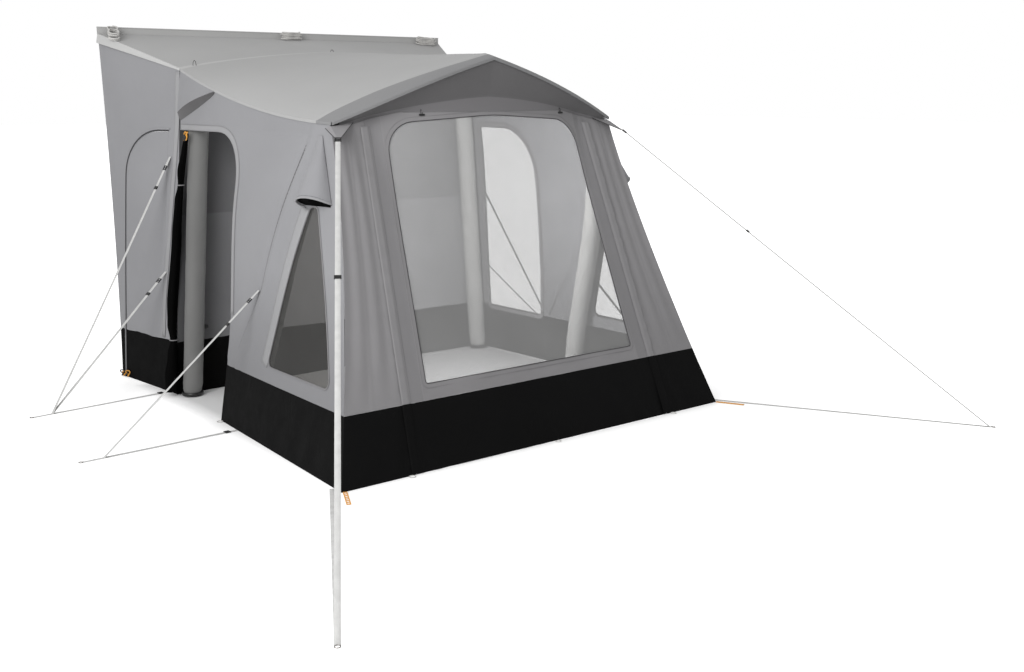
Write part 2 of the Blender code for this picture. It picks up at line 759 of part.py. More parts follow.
def right_door():
    side = RIGHT
    low, high = MUD_HEIGHT, DOOR_TOP_Z - DOOR_BORDER
    front, rear = DOOR_FRONT_Y + DOOR_BORDER, DOOR_REAR_Y - DOOR_REAR_BORDER
    border = rounded([(door_front_y(low) + DOOR_BORDER, low), (rear, low), (rear, high), (front, high),
                      (front, DOOR_KNEE_Z)], [0.02, 0.02, 0.02, DOOR_CORNER - DOOR_BORDER, 0])

    def panel(setback):
        def surface(u, v):
            y = mix(DOOR_FRONT_Y - 0.05, DOOR_REAR_Y + 0.05, u)
            z = mix(-0.02, DOOR_TOP_Z + 0.05, v)
            return (side * (wall_x(y, z) - setback), y, z)
        return surface

    outer = offset_outline(door_outline(GROUND_GAP - EDGE_GAP), -EDGE_GAP)
    keep = side_prism("right_door_keep", side, outer)
    door = cloth("right_door", WALL_CLOTH, panel(0.0), 8, 16, (side, 0, 0))
    boolean(door, "INTERSECT", keep)
    boolean(door, "DIFFERENCE", side_prism("right_door_window_cut", side, border))
    film = cloth("right_door_window", FILM, panel((FABRIC + GAP) * 1.3), 8, 16, (side, 0, 0),
                 thickness=FABRIC / 2)
    lapped = offset_outline(border, FILM_LAP)
    boolean(film, "INTERSECT", side_prism("right_door_film_keep", side, lapped))


# Height, radius and place along the wall of each station of the rolled door
ROLL_PROFILE = ((1.590, 0.012, 2.085), (1.500, 0.017, 2.098), (1.380, 0.023, 2.122), (1.290, 0.018, 2.140),
                (1.200, 0.025, 2.152), (0.900, 0.030, 2.182), (0.600, 0.034, 2.205), (0.440, 0.030, 2.212),
                (0.345, 0.022, 2.208), (0.260, 0.032, 2.200), (0.120, 0.042, 2.190), (0.030, 0.040, 2.186))
ROLL_CLEAR = 0.0013
ROLL_TIES = (ROLL_PROFILE[3], ROLL_PROFILE[8])


def roll_point(z, radius, y):
    """Centre of the rolled door, hanging down the outside of the doorway's rear edge."""
    surface = tunnel_x if y + radius > MAIN_DEPTH else wall_x
    return Vector((LEFT * (surface(y, z) + radius + ROLL_CLEAR), y, z))


def rolled_door():
    largest = max(radius for _, radius, _ in ROLL_PROFILE)
    points = [roll_point(*station) for station in ROLL_PROFILE]
    radii = [radius / largest for _, radius, _ in ROLL_PROFILE]
    roll = tube_object("rolled_door_left", points, largest, MUD_CLOTH, sides=3, radii=radii)
    for index, (z, radius, y) in enumerate(ROLL_TIES):
        tie = bmesh.new()
        place = Matrix.Translation(roll_point(z, radius + 0.0012, y))
        bmesh.ops.create_cone(tie, cap_ends=True, segments=16, radius1=radius + 0.0012,
                              radius2=radius + 0.0012, depth=0.014, matrix=place)
        join(roll, finish_bmesh("door_tie_%d" % index, tie, WEBBING))


# Rear partition

def rear_partition():
    y = REAR_LEG_FOOT_Y + BOOT_RADIUS + 2 * GAP

    def surface(u, v):
        z = REAR_EAVE_Z * v
        for _ in range(3):
            x = (2 * u - 1) * (wall_x(y, min(z, REAR_EAVE_Z)) - FABRIC * 1.2 - 2 * GAP)
            z = v * (roof_z(x, y) - FABRIC * 1.15 - GAP)
        return (x, y, z)

    cloth("rear_wall", WALL_CLOTH, surface, 14, 6, (0, -1, 0))


# Tunnel

def tunnel_hinge_y(z):
    return mix(TUNNEL_DOOR_HINGE_FOOT_Y, TUNNEL_DOOR_HINGE_TOP_Y, z / TUNNEL_DOOR_TOP_Z)


def tunnel_door_outline(bottom=-0.1):
    foot_y = mix(TUNNEL_DOOR_REAR_FOOT_Y, TUNNEL_DOOR_REAR_TOP_Y, bottom / TUNNEL_DOOR_TOP_Z)
    corners = [(tunnel_hinge_y(bottom), bottom), (foot_y, bottom),
               (TUNNEL_DOOR_REAR_TOP_Y, TUNNEL_DOOR_TOP_Z), (TUNNEL_DOOR_HINGE_TOP_Y, TUNNEL_DOOR_TOP_Z)]
    return rounded(corners, [0, 0, TUNNEL_DOOR_CORNER, 0], steps=8)


def tunnel_walls():
    outline = tunnel_door_outline()
    inner = offset_outline(tunnel_door_outline(GROUND_GAP - EDGE_GAP), -EDGE_GAP)
    for side, word in SIDES:
        def wall(u, v, side=side):
            z = VAN_Z * v
            y = mix(MAIN_DEPTH + GAP, van_y(z) - SEAM_GAP, u)
            z = v * (tunnel_eave_z(y) - EAVE_DROP)
            y = mix(MAIN_DEPTH + GAP, van_y(z) - SEAM_GAP, u)
            return (side * tunnel_x(y, z), y, z)

        sheet = cloth("tunnel_wall_" + word, WALL_CLOTH, wall, 6, 8, (side, 0, 0))
        boolean(sheet, "DIFFERENCE", side_prism("tunnel_door_cut_" + word, side, outline))

        def door(u, v, side=side):
            y, z = mix(2.25, 2.90, u), mix(-0.02, TUNNEL_DOOR_TOP_Z + 0.10, v)
            return (side * tunnel_x(y, z), y, z)

        keep = side_prism("tunnel_door_keep_" + word, side, inner)
        panel = cloth("tunnel_door_" + word, WALL_CLOTH, door, 4, 7, (side, 0, 0))
        boolean(panel, "INTERSECT", keep)


def wing_gussets():
    """Triangles under the eave that take the pull of the rear arch."""
    for side, word in SIDES:
        def wing(u, v, side=side):
            y = mix(1.780, MAIN_DEPTH - 0.004, u)
            top = eave_z(y) - HEM - 2 * GAP
            z = mix(top, mix(eave_z(1.78) - HEM - 0.006, 1.715, u), v)
            out = FABRIC + 2 * GAP + 0.050 * v * math.sin(math.pi * clamp(0.15 + 0.75 * u))
            return (side * (wall_x(y, z) + out), y, z)

        cloth("wing_gusset_" + word, WALL_CLOTH, wing, 8, 5, (side, 0, 0))


# Air beams

LEG_STEPS = 6
ARCH_STEPS = 7


def leg_points(foot_y, top_y, top_z, inset):
    """Up one leg: it stands square on its boot, then leans with the wall."""
    low = BOOT_HEIGHT / 2
    foot_x = wall_x(foot_y, 0.0) - inset
    points = [(foot_x, foot_y, low), (foot_x, foot_y, low + 0.03)]
    for step in range(1, LEG_STEPS + 1):
        z = mix(low + 0.03, top_z, step / LEG_STEPS)
        y = mix(foot_y, top_y, step / LEG_STEPS)
        points.append((wall_x(y, z) - inset, y, z))
    return points


def under_roof(x, y, depth):
    """The point that lies depth under the roof, square to it."""
    step = 0.01
    slope_x = (roof_z(x + step, y) - roof_z(x - step, y)) / (2 * step)
    slope_y = (roof_z(x, y + step) - roof_z(x, y - step)) / (2 * step)
    return Vector((x, y, roof_z(x, y))) - Vector((-slope_x, -slope_y, 1.0)).normalized() * depth


def half_beam(leg, arch):
    """Leg, bend and half the arch, on the right side."""
    top = Vector(leg[-1])
    slope = (arch[1].z - arch[0].z) / (arch[1].x - arch[0].x)
    corner_y = (top.y + arch[0].y) / 2
    corner_x = min(top.x, wall_x(corner_y, SWELL_TOP_Z) - BEAM_INSET)
    corner = Vector((corner_x, corner_y, arch[0].z + slope * (corner_x - arch[0].x)))
    bend = [top.lerp(corner, t).lerp(corner.lerp(arch[0], t), t) for t in (0.17, 0.34, 0.5, 0.66, 0.83)]
    return [Vector(point) for point in leg] + bend + arch


def beam_path(right, left):
    """The right half, then the left one mirrored."""
    return right + [Vector((-point.x, point.y, point.z)) for point in reversed(left[:-1])]


def front_beam_path():
    arch = []
    for step in range(ARCH_STEPS + 1):
        x = FRONT_ARCH_HALF * (1 - step / ARCH_STEPS)
        y = FRONT_ARCH_Y + FRONT_ARCH_SWEEP * (x / FRONT_ARCH_HALF) ** 2
        arch.append(under_roof(x, y, BEAM_INSET))
    halves = [half_beam(leg_points(FRONT_LEG_FOOT_Y + setback, FRONT_LEG_TOP_Y + setback, FRONT_LEG_TOP_Z,
                                   BEAM_INSET), arch) for setback in (0.0, LEFT_LEG_SETBACK)]
    return beam_path(*halves)


def rear_beam_path():
    arch = [under_roof(REAR_ARCH_HALF * (1 - step / ARCH_STEPS), REAR_LEG_TOP_Y, BEAM_INSET)
            for step in range(ARCH_STEPS + 1)]
    half = half_beam(leg_points(REAR_LEG_FOOT_Y, REAR_LEG_TOP_Y, REAR_LEG_TOP_Z, BEAM_INSET), arch)
    return beam_path(half, half)


def cylinder_object(name, centre, radius, length, look, axis="Z", radius_top=None):
    bm = bmesh.new()
    turned = Matrix.Rotation(math.pi / 2, 4, "Y") if axis == "X" else Matrix.Identity(4)
    bmesh.ops.create_cone(bm, cap_ends=True, segments=20, radius1=radius,
                          radius2=radius if radius_top is None else radius_top, depth=length,
                          matrix=Matrix.Translation(centre) @ turned)
    return finish_bmesh(name, bm, look, smooth=40)


def air_beams():
    for word, path in (("front", front_beam_path()), ("rear", rear_beam_path())):
        beam = tube_object(word + "_air_beam", path, BEAM_RADIUS, BEAM_SKIN, sides=2)
        for index, foot in enumerate((path[0], path[-1])):
            place = (foot.x, foot.y, BOOT_HEIGHT / 2)
            join(beam, cylinder_object("%s_boot_%d" % (word, index), place, BOOT_RADIUS, BOOT_HEIGHT,
                                       PLASTIC, radius_top=BOOT_RADIUS - 1.5 * FABRIC))

    foot_z = BOOT_HEIGHT / 2 + 0.03
    share = (VALVE_Z - foot_z) / (REAR_LEG_TOP_Z - foot_z)
    y = mix(REAR_LEG_FOOT_Y, REAR_LEG_TOP_Y, share)
    axis_x = wall_x(y, VALVE_Z) - BEAM_INSET
    valve_x = LEFT * axis_x + BEAM_RADIUS + 5 * GAP + VALVE_LENGTH / 2
    cylinder_object("inflation_valve", (valve_x, y, VALVE_Z), VALVE_RADIUS, VALVE_LENGTH, PLASTIC, "X")
    cap_x = valve_x + (VALVE_LENGTH + CAP_LENGTH) / 2 + GAP
    cylinder_object("valve_cap", (cap_x, y, VALVE_Z), VALVE_RADIUS * 0.9, CAP_LENGTH, PLASTIC, "X",
                    VALVE_RADIUS * 0.8)


# Storm straps: where each leaves the awning, how far down its slider sits, and the strap
# along the ground that it joins

FRONT_STRAP = {"top": (0.965, 0.510, 1.615), "slider": 0.95}
MID_STRAP = {"wall": (wall_x, 1.104, 0.795), "slider": 0.184}
UPPER_STRAP = {"wall": (tunnel_x, 2.285, 1.451), "slider": 0.148}
LOWER_STRAP = {"wall": (tunnel_x, 2.330, 0.753), "slider": 0.121}
TAB_LENGTH = 0.060
RING_REACH = RING_RADIUS + RING_WIRE + GAP
JOIN_BACK = 0.100            # the rear and middle straps join this far short of the ring
LAP_HEIGHT = STRAP_THICK     # height at which a slanting strap meets the one on the ground


def ground_start(surface, y, clear=0.0):
    return Vector((surface(y, 0.0) + clear, y, STRAP_THICK / 2))


def ground_line(which):
    """Ends of the strap along the ground, on the right side."""
    start, peg = {
        "front": (Vector((BASE_HALF + 0.008, 0.075, STRAP_THICK / 2)), FRONT_PEG),
        "mid": (ground_start(wall_x, 1.252, 0.0018), MID_PEG),
        "rear": (ground_start(tunnel_x, 2.300, 0.0015), REAR_PEG),
    }[which]
    peg = Vector((*peg, STRAP_THICK / 2))
    return start, peg + (start - peg).normalized() * RING_REACH


STRAP_SETS = (("front", (FRONT_STRAP,), 0.0), ("mid", (MID_STRAP,), JOIN_BACK),
              ("rear", (UPPER_STRAP, LOWER_STRAP), JOIN_BACK))


def mirrored(point, side):
    return Vector((side * point.x, point.y, point.z))


def strap_end(strap, side):
    """Where the slanting strap meets the one on the ground."""
    for which, straps, back in STRAP_SETS:
        if strap in straps:
            start, end = ground_line(which)
            meeting = end + (start - end).normalized() * (back + 0.006)
            return mirrored(Vector((meeting.x, meeting.y, LAP_HEIGHT)), side)
    raise ValueError("unknown strap")


def strap_anchor(strap, side):
    surface, y, z = strap["wall"]
    return Vector((side * surface(y, z), y, z))


def strap_top(strap, side):
    """Where the strap's buckle starts."""
    if "top" in strap:
        return mirrored(Vector(strap["top"]), side)
    anchor = strap_anchor(strap, side)
    return anchor + (strap_end(strap, side) - anchor).normalized() * TAB_LENGTH


def strap_axes(start, end):
    along = (end - start).normalized()
    across = along.cross(Vector((0, 0, 1))).normalized()
    return across, along, across.cross(along).normalized()


def strip_object(name, start, end, look=WEBBING, width=STRAP_WIDTH, thick=STRAP_THICK):
    across, along, normal = strap_axes(start, end)
    bm = bmesh.new()
    size = (width, (end - start).length, thick)
    add_box(bm, size, axes_matrix((start + end) / 2, across, along, normal))
    return finish_bmesh(name, bm, look)


def corner_gusset(side, tip):
    """A dark triangle round the front corner, drawn out to the strap."""
    across = strap_axes(tip, strap_end(FRONT_STRAP, side))[0]
    if across.y > 0:
        across = -across
    lift = FABRIC + 1.6 * SEAM_GAP

    def surface(u, v):
        if u < 0.5:
            y, z = mix(0.700, 0.612, 2 * u), mix(1.632, 1.650, 2 * u)
            high = Vector((side * (wall_x(y, z) + lift), y, z))
        else:
            z = mix(1.650, 1.640, 2 * u - 1)
            x = mix(front_corner_x(1.650) + lift, 0.870, 2 * u - 1)
            high = Vector((side * x, front_y(x, z) - lift * 1.2, z))
        low = tip + across * (u - 0.5) * STRAP_WIDTH * 0.7
        return high.lerp(low, v)

    return surface


def storm_straps():
    for which, straps, back in STRAP_SETS:
        start, end = ground_line(which)
        for side, word in SIDES:
            name = "%s_storm_strap_%s" % (which, word)
            made = strip_object(name, mirrored(start, side), mirrored(end, side))
            if which != "front":
                along = (end - start).normalized()
                low = start + along * 0.045 + Vector((0, 0, (BUCKLE_THICK - STRAP_THICK) / 2))
                high = low + along * BUCKLE_LENGTH
                join(made, strip_object(name + "_ground_buckle", mirrored(low, side),
                                        mirrored(high, side), PLASTIC, STRAP_WIDTH + 0.008,
                                        BUCKLE_THICK))
            for index, strap in enumerate(straps):
                add_slanting_strap(made, name + "_%d" % index, strap, side)


def add_slanting_strap(made, name, strap, side):
    top, end = strap_top(strap, side), strap_end(strap, side)
    across, along, normal = strap_axes(top, end)
    join(made, strip_object(name, top + along * BUCKLE_LENGTH * 0.8, end))
    join(made, strip_object(name + "_buckle", top, top + along * BUCKLE_LENGTH, PLASTIC,
                            STRAP_WIDTH + 0.008, BUCKLE_THICK))
    if "wall" in strap:
        surface, y, z = strap["wall"]
        anchor = strap_anchor(strap, side)
        outward = wall_normal(side, surface, y, z)
        reach = abs(across.dot(outward)) * STRAP_WIDTH / 2
        reach += abs(normal.dot(outward)) * STRAP_THICK / 2 + 3 * GAP
        first = anchor + along * (reach / along.dot(outward))
        join(made, strip_object(name + "_tab", first, top + along * BUCKLE_LENGTH * 0.2))
    else:
        tip = top + along * BUCKLE_LENGTH * 0.3
        gusset = cloth(name + "_gusset", DARK_CLOTH, corner_gusset(side, tip), 6, 5, (side, -1, 0))
        join(made, gusset)


SLIDERS = (("front_strap_slider", FRONT_STRAP), ("mid_strap_slider", MID_STRAP),
           ("rear_upper_strap_slider", UPPER_STRAP), ("rear_lower_strap_slider", LOWER_STRAP))


def strap_sliders():
    for name, strap in SLIDERS:
        for side, word in SIDES:
            top, end = strap_top(strap, side), strap_end(strap, side)
            axes = strap_axes(top, end)
            centre = top + axes[1] * strap["slider"]
            body = bmesh.new()
            add_box(body, (STRAP_WIDTH + 2 * SLIDER_RIM, SLIDER_LENGTH, BUCKLE_THICK),
                    axes_matrix(centre, *axes))
            slider = finish_bmesh(name + "_" + word, body, PLASTIC)
            slot = bmesh.new()
            add_box(slot, (STRAP_WIDTH + 2 * GAP, SLIDER_LENGTH * 2, STRAP_THICK + 2 * GAP),
                    axes_matrix(centre, *axes))
            tool = finish_bmesh(name + "_slot_" + word, slot, None)
            move_to_cutters(tool)
            boolean(slider, "DIFFERENCE", tool)


def ring_object(name, centre, radius, wire, look, segments=12, sides=5):
    """A wire ring lying flat: a small circle swept round a large one."""
    bm = bmesh.new()
    turned = Matrix.Translation((radius, 0, 0)) @ Matrix.Rotation(math.pi / 2, 4, "X")
    bmesh.ops.create_circle(bm, segments=sides, radius=wire, matrix=turned)
    bmesh.ops.spin(bm, geom=bm.verts[:] + bm.edges[:], cent=(0, 0, 0), axis=(0, 0, 1),
                   angle=2 * math.pi, steps=segments)
    bmesh.ops.remove_doubles(bm, verts=bm.verts, dist=0.00001)
    bmesh.ops.recalc_face_normals(bm, faces=bm.faces)
    bmesh.ops.translate(bm, verts=bm.verts, vec=centre)
    return finish_bmesh(name, bm, look, smooth=60)


def peg_rings():
    for which, (x, y) in (("front", FRONT_PEG), ("mid", MID_PEG), ("rear", REAR_PEG)):
        for side, word in SIDES:
            ring_object("%s_peg_ring_%s" % (which, word), (side * x, y, RING_WIRE), RING_RADIUS,
                        RING_WIRE, STEEL)


LADDER_LENGTH = 0.170
LADDER_WIDTH = 0.022
LADDER_THICK = 0.003
LADDER_PLACE = {LEFT: ((-1.285, -0.0052), (-0.42, -0.91)), RIGHT: ((1.2986, -0.0010), (0.46, -0.89))}


def peg_ladders():
    """Rungs of webbing that lie on the ground off each front corner, to take a peg."""
    rung = 0.005
    hole = 0.018
    for side, word in SIDES:
        (x, y), (dx, dy) = LADDER_PLACE[side]
        along = Vector((dx, dy, 0)).normalized()
        across = Vector((along.y, -along.x, 0))
        start = Vector((x, y, LADDER_THICK / 2))
        axes = (across, along, Vector((0, 0, 1)))
        body = bmesh.new()
        add_box(body, (LADDER_WIDTH, LADDER_LENGTH, LADDER_THICK),
                axes_matrix(start + along * LADDER_LENGTH / 2, *axes))
        ladder = finish_bmesh("front_peg_ladder_" + word, body, LADDER_WEBBING)
        holes = bmesh.new()
        count = int((LADDER_LENGTH - rung) / (hole + rung))
        for index in range(count):
            middle = start + along * (rung + hole / 2 + index * (hole + rung))
            add_box(holes, (LADDER_WIDTH - 2 * rung, hole, LADDER_THICK * 3), axes_matrix(middle, *axes))
        tool = finish_bmesh("ladder_holes_" + word, holes, None)
        move_to_cutters(tool)
        boolean(ladder, "DIFFERENCE", tool)


# Cord hanks on the van edge

HANK_CORD = 0.0046
HANK_LOOPS = 3
HANK_STEPS = 24


def tunnel_roof_z(x, y):
    v = (y - MAIN_DEPTH) / (VAN_Y - MAIN_DEPTH)
    s = x / (tunnel_x(y, tunnel_eave_z(y)) + FABRIC + SEAM_GAP / 2)
    z = mix(rear_arch_z(s * roof_edge_x(MAIN_DEPTH)), VAN_Z, v)
    return z - (mix(rear_arch_z(roof_edge_x(MAIN_DEPTH)), VAN_Z, v) - tunnel_eave_z(y)) * abs(s) ** SHOULDER


def hank_path(centre, length, width, turned):
    """Loops drawn in at the waist, laid on the tunnel roof, each one cord above the last."""
    pitch = HANK_CORD * 1.35
    rest = HANK_CORD / 2 + 6 * GAP
    points = []
    for index in range(HANK_LOOPS * HANK_STEPS + 1):
        turn = index / HANK_STEPS
        angle = 2 * math.pi * turn
        along = math.cos(angle) * length / 2
        waist = 0.42 + 0.58 * (abs(math.cos(angle))) ** 1.3
        across = math.sin(angle) * width / 2 * waist * 1.6
        x = centre[0] + along * math.cos(turned) - across * math.sin(turned)
        y = centre[1] + along * math.sin(turned) + across * math.cos(turned)
        points.append(Vector((x, y, tunnel_roof_z(x, y) + rest + pitch * turn)))
    return points


def least_gap(points, diameter):
    """Smallest clear distance between stretches of the cord that aren't neighbours."""
    least = 1.0
    for i, a in enumerate(points[:-1]):
        for j in range(i + 5, len(points) - 1):
            for t in (0.0, 0.5):
                least = min(least, (a - points[j].lerp(points[j + 1], t)).length)
    return least - diameter


def van_cords():
    """Three hanks of tie cord that lie on the tunnel roof, along its edge at the van."""
    for word, x, y, length, turned in (("left", -1.205, 2.765, 0.095, 1.25),
                                       ("centre", 0.030, 2.800, 0.100, 0.12),
                                       ("right", 1.140, 2.800, 0.100, -0.08)):
        path = hank_path((x, y), length, 0.036, turned)
        name = "van_cord_" + word
        print(name, "least gap to itself", round(least_gap(path, HANK_CORD) * 1000, 2), "mm")
        tube_object(name, path, HANK_CORD / 2, CORD, sides=1)


main_roof()
tunnel_roof()
van_beading()
front_visor()
front_centre()
front_flaps()
corner_panels()
mudwalls()
zip_sliders()
side_walls()
vent_cowls()
right_door()
rolled_door()
rear_partition()
tunnel_walls()
wing_gussets()
air_beams()
storm_straps()
strap_sliders()
peg_rings()
peg_ladders()
van_cords()
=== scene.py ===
import json
import math

import bmesh
import bpy
from mathutils import Matrix, Vector, noise

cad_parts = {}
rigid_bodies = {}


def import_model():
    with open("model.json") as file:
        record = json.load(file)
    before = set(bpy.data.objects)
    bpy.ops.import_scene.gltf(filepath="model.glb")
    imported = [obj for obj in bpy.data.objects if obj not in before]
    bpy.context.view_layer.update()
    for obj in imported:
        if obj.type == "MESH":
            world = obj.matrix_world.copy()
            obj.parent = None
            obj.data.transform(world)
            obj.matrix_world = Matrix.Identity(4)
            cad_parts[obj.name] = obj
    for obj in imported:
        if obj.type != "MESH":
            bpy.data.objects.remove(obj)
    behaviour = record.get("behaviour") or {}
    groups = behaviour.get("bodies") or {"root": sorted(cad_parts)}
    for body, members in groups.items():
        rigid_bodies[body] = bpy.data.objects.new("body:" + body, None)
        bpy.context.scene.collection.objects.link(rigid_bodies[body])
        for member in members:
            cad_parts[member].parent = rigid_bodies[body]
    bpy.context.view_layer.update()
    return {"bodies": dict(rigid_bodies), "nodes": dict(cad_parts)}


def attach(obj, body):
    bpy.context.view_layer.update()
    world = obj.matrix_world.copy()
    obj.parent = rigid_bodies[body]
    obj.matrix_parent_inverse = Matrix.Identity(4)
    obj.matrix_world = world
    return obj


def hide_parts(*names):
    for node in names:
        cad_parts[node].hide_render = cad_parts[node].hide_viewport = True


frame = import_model()
scene = bpy.context.scene

# Shape of the shell, in metres, as in the part's source
BASE_HALF = 1.300
REAR_HALF = 1.171
MAIN_DEPTH = 2.203
EAVE_FRONT_HALF = 0.9425
EAVE_FRONT_Z = 1.688
FRONT_RUN = 0.620
CORNER_FLARE = 1.45
REAR_EAVE_HALF = 1.032
REAR_EAVE_Z = 1.970
WALL_SWELL = 0.056
SWELL_TOP_Z = 1.620
RIDGE_FRONT_Z = 2.018
RIDGE_REAR_Z = 2.085
LIP_Y = 0.500
LIP_SWEEP = 0.105
LIP_DROP = 0.018
LIP_ROUND = 0.100
SHOULDER = 7
MUD_HEIGHT = 0.326
SEAM_CREST_Z = 1.810
FOLD_Z = 1.735
FOLD_HALF = 0.535
FRONT_BULGE = 0.110
BULGE_HALF = 0.700
BULGE_START_Z = 1.200
VAN_Y = 2.845
VAN_FOOT_Y = 2.905
VAN_EAVE_HALF = 1.280
VAN_FOOT_HALF = 1.253
VAN_Z = 2.185
HEM = 0.012
SEAM_GAP = 0.0016
EAVE_DROP = 0.007
FABRIC = 0.003
GAP = 0.0003
EDGE_GAP = 0.0008
FILM_LAP = 0.014
ZIP_FOOT_HALF = 0.878
ZIP_LEAN = 0.077
FLAP_WIDTH = 0.054
FLAP_TOP_Z = 1.660
DOOR_FRONT_Y = 1.435
DOOR_REAR_Y = 2.185
DOOR_TOP_Z = 1.611
DOOR_TOE = 0.065
DOOR_KNEE_Z = 0.620
DOOR_CORNER = 0.300
DOOR_BORDER = 0.030
DOOR_REAR_BORDER = 0.110
TUNNEL_DOOR_TOP_Z = 1.600
TUNNEL_DOOR_HINGE_TOP_Y = 2.300
TUNNEL_DOOR_HINGE_FOOT_Y = 2.400
TUNNEL_DOOR_REAR_TOP_Y = 2.655
TUNNEL_DOOR_REAR_FOOT_Y = 2.840
TUNNEL_DOOR_CORNER = 0.310
WINDOW_BOTTOM_Z = 0.405
WINDOW_TOP_Z = 1.708
WINDOW_BOTTOM_HALF = 0.711
WINDOW_TOP_HALF = 0.632
WINDOW_CORNER = 0.170
SIDE_WINDOW = ((0.300, 0.414), (0.955, 0.414), (0.684, 1.264), (0.630, 1.268))
BEAM_RADIUS = 0.060
BEAM_INSET = BEAM_RADIUS + 4 * FABRIC
LEFT_LEG_SETBACK = 0.115
SHIFT = 0.7791               # design frame's front base line to the row frame's origin, in Y

LEAN = FRONT_RUN / EAVE_FRONT_Z
LEAN_ANGLE = math.atan(LEAN)
LEFT, RIGHT = -1.0, 1.0
SIDES = ((LEFT, "left"), (RIGHT, "right"))
CLOTH, FILM = 0.0016, 0.0006
EDGE_OUT = FABRIC + SEAM_GAP / 2
FRONT_NORMAL = Vector((0.0, -math.cos(LEAN_ANGLE), math.sin(LEAN_ANGLE)))


# Camera, solved from the photo's edges

FOCAL_PIXELS, PHOTO_WIDTH, SENSOR_WIDTH = 1161.9, 1024, 36.0
CAMERA_PLACE = (-3.9037, -4.5339, 1.8417)
CAMERA_YAW, CAMERA_PITCH = 0.6743, 0.2082


def place(point):
    """A point of the design frame in the frame of the row."""
    return Vector((point[0], point[1] - SHIFT, point[2]))


def aim(made, location, ahead):
    scene.collection.objects.link(made)
    made.location = location
    made.rotation_mode = "QUATERNION"
    made.rotation_quaternion = ahead.to_track_quat("-Z", "Y")


def make_camera():
    data = bpy.data.cameras.new("camera")
    data.sensor_width = SENSOR_WIDTH
    data.lens = FOCAL_PIXELS * SENSOR_WIDTH / PHOTO_WIDTH
    data.clip_start, data.clip_end = 0.1, 200
    scene.camera = bpy.data.objects.new("camera", data)
    level = math.cos(CAMERA_PITCH)
    ahead = (math.sin(CAMERA_YAW) * level, math.cos(CAMERA_YAW) * level, -math.sin(CAMERA_PITCH))
    aim(scene.camera, place(CAMERA_PLACE), Vector(ahead))


# Surfaces

def mix(a, b, t):
    return a + (b - a) * t


def clamp(value, low=0.0, high=1.0):
    return max(low, min(high, value))


def smooth(t):
    t = clamp(t)
    return t * t * (3 - 2 * t)


def bell(t, width):
    return math.exp(-(t / width) ** 2)


def front_corner_x(z):
    rise = clamp(1.0 - z / EAVE_FRONT_Z)
    return EAVE_FRONT_HALF + (BASE_HALF - EAVE_FRONT_HALF) * rise ** CORNER_FLARE


def front_corner_y(z):
    return LEAN * min(z, EAVE_FRONT_Z)


def rear_leg_x(z):
    return mix(REAR_HALF, REAR_EAVE_HALF, z / REAR_EAVE_Z)


def wall_swell(t, z):
    if not 0.0 < t < 1.0 or not 0.0 < z < SWELL_TOP_Z:
        return 0.0
    height = math.sin(math.pi * (z / SWELL_TOP_Z) ** 2.14)
    return WALL_SWELL * height * math.sin(math.pi * t ** 0.8) * min(1.0, 8.0 * (1.0 - t))


def wall_x(y, z):
    start = front_corner_y(z)
    t = (y - start) / (MAIN_DEPTH - start)
    return mix(front_corner_x(z), rear_leg_x(z), t) + wall_swell(t, z)


def eave_z(y):
    t = clamp((y - FRONT_RUN) / (MAIN_DEPTH - FRONT_RUN))
    return mix(EAVE_FRONT_Z, REAR_EAVE_Z, 0.17 * t + 0.83 * t * t)


def van_y(z):
    return mix(VAN_Y, VAN_FOOT_Y, clamp(1.0 - z / VAN_Z) ** 3)


def tunnel_x(y, z):
    edge = van_y(z)
    edge_x = mix(VAN_FOOT_HALF, VAN_EAVE_HALF, clamp(z / VAN_Z, 0.0, 1.1) ** 2)
    return mix(rear_leg_x(z), edge_x, (y - MAIN_DEPTH) / (edge - MAIN_DEPTH))


def tunnel_eave_z(y):
    return mix(REAR_EAVE_Z, VAN_Z, clamp((y - MAIN_DEPTH) / (VAN_Y - MAIN_DEPTH)))


def front_y(x, z):
    swell = clamp(1.0 - (x / BULGE_HALF) ** 2)
    ramp = clamp((z - BULGE_START_Z) / (FOLD_Z - BULGE_START_Z)) ** 1.5
    return LEAN * z - FRONT_BULGE * swell * ramp


def arch_seam_z(x):
    return SEAM_CREST_Z - 0.050 * abs(x) - 0.115 * x * x


def hem_z(x):
    return arch_seam_z(x) - HEM if abs(x) > FOLD_HALF else min(FOLD_Z, arch_seam_z(x) - HEM)


def lip_y(x):
    return LIP_Y + LIP_SWEEP * (abs(x) / EAVE_FRONT_HALF) ** 3


def lip_z(x):
    return RIDGE_FRONT_Z - 0.270 * abs(x) - 0.092 * x * x


def rear_arch_z(x):
    return RIDGE_REAR_Z - 0.050 * abs(x) - 0.052 * x * x


def roof_edge_x(y):
    return wall_x(y, eave_z(y)) + EDGE_OUT


def lip_rounding(x, y, t):
    return LIP_DROP * (1.0 - t - clamp(1.0 - (y - lip_y(x)) / LIP_ROUND) ** 2)


def roof_z(x, y):
    front = lip_y(x)
    t = clamp((y - front) / (MAIN_DEPTH - front))
    edge = roof_edge_x(y)
    shoulder = clamp(abs(x) / edge) ** SHOULDER
    arch = mix(lip_z(x), rear_arch_z(x), t) + lip_rounding(x, y, t) * (1.0 - shoulder)
    edge_t = clamp((y - lip_y(edge)) / (MAIN_DEPTH - lip_y(edge)))
    drop = mix(lip_z(edge), rear_arch_z(edge), edge_t) - eave_z(y)
    return arch - drop * shoulder


def zip_x(z):
    return ZIP_FOOT_HALF - ZIP_LEAN * z


def on_front(x, z, out=0.0):
    return Vector((x, front_y(x, z), z)) + FRONT_NORMAL * out


def on_side(side, y, z, out=0.0, surface=None):
    return side * ((surface or wall_x)(y, z) + out), y, z


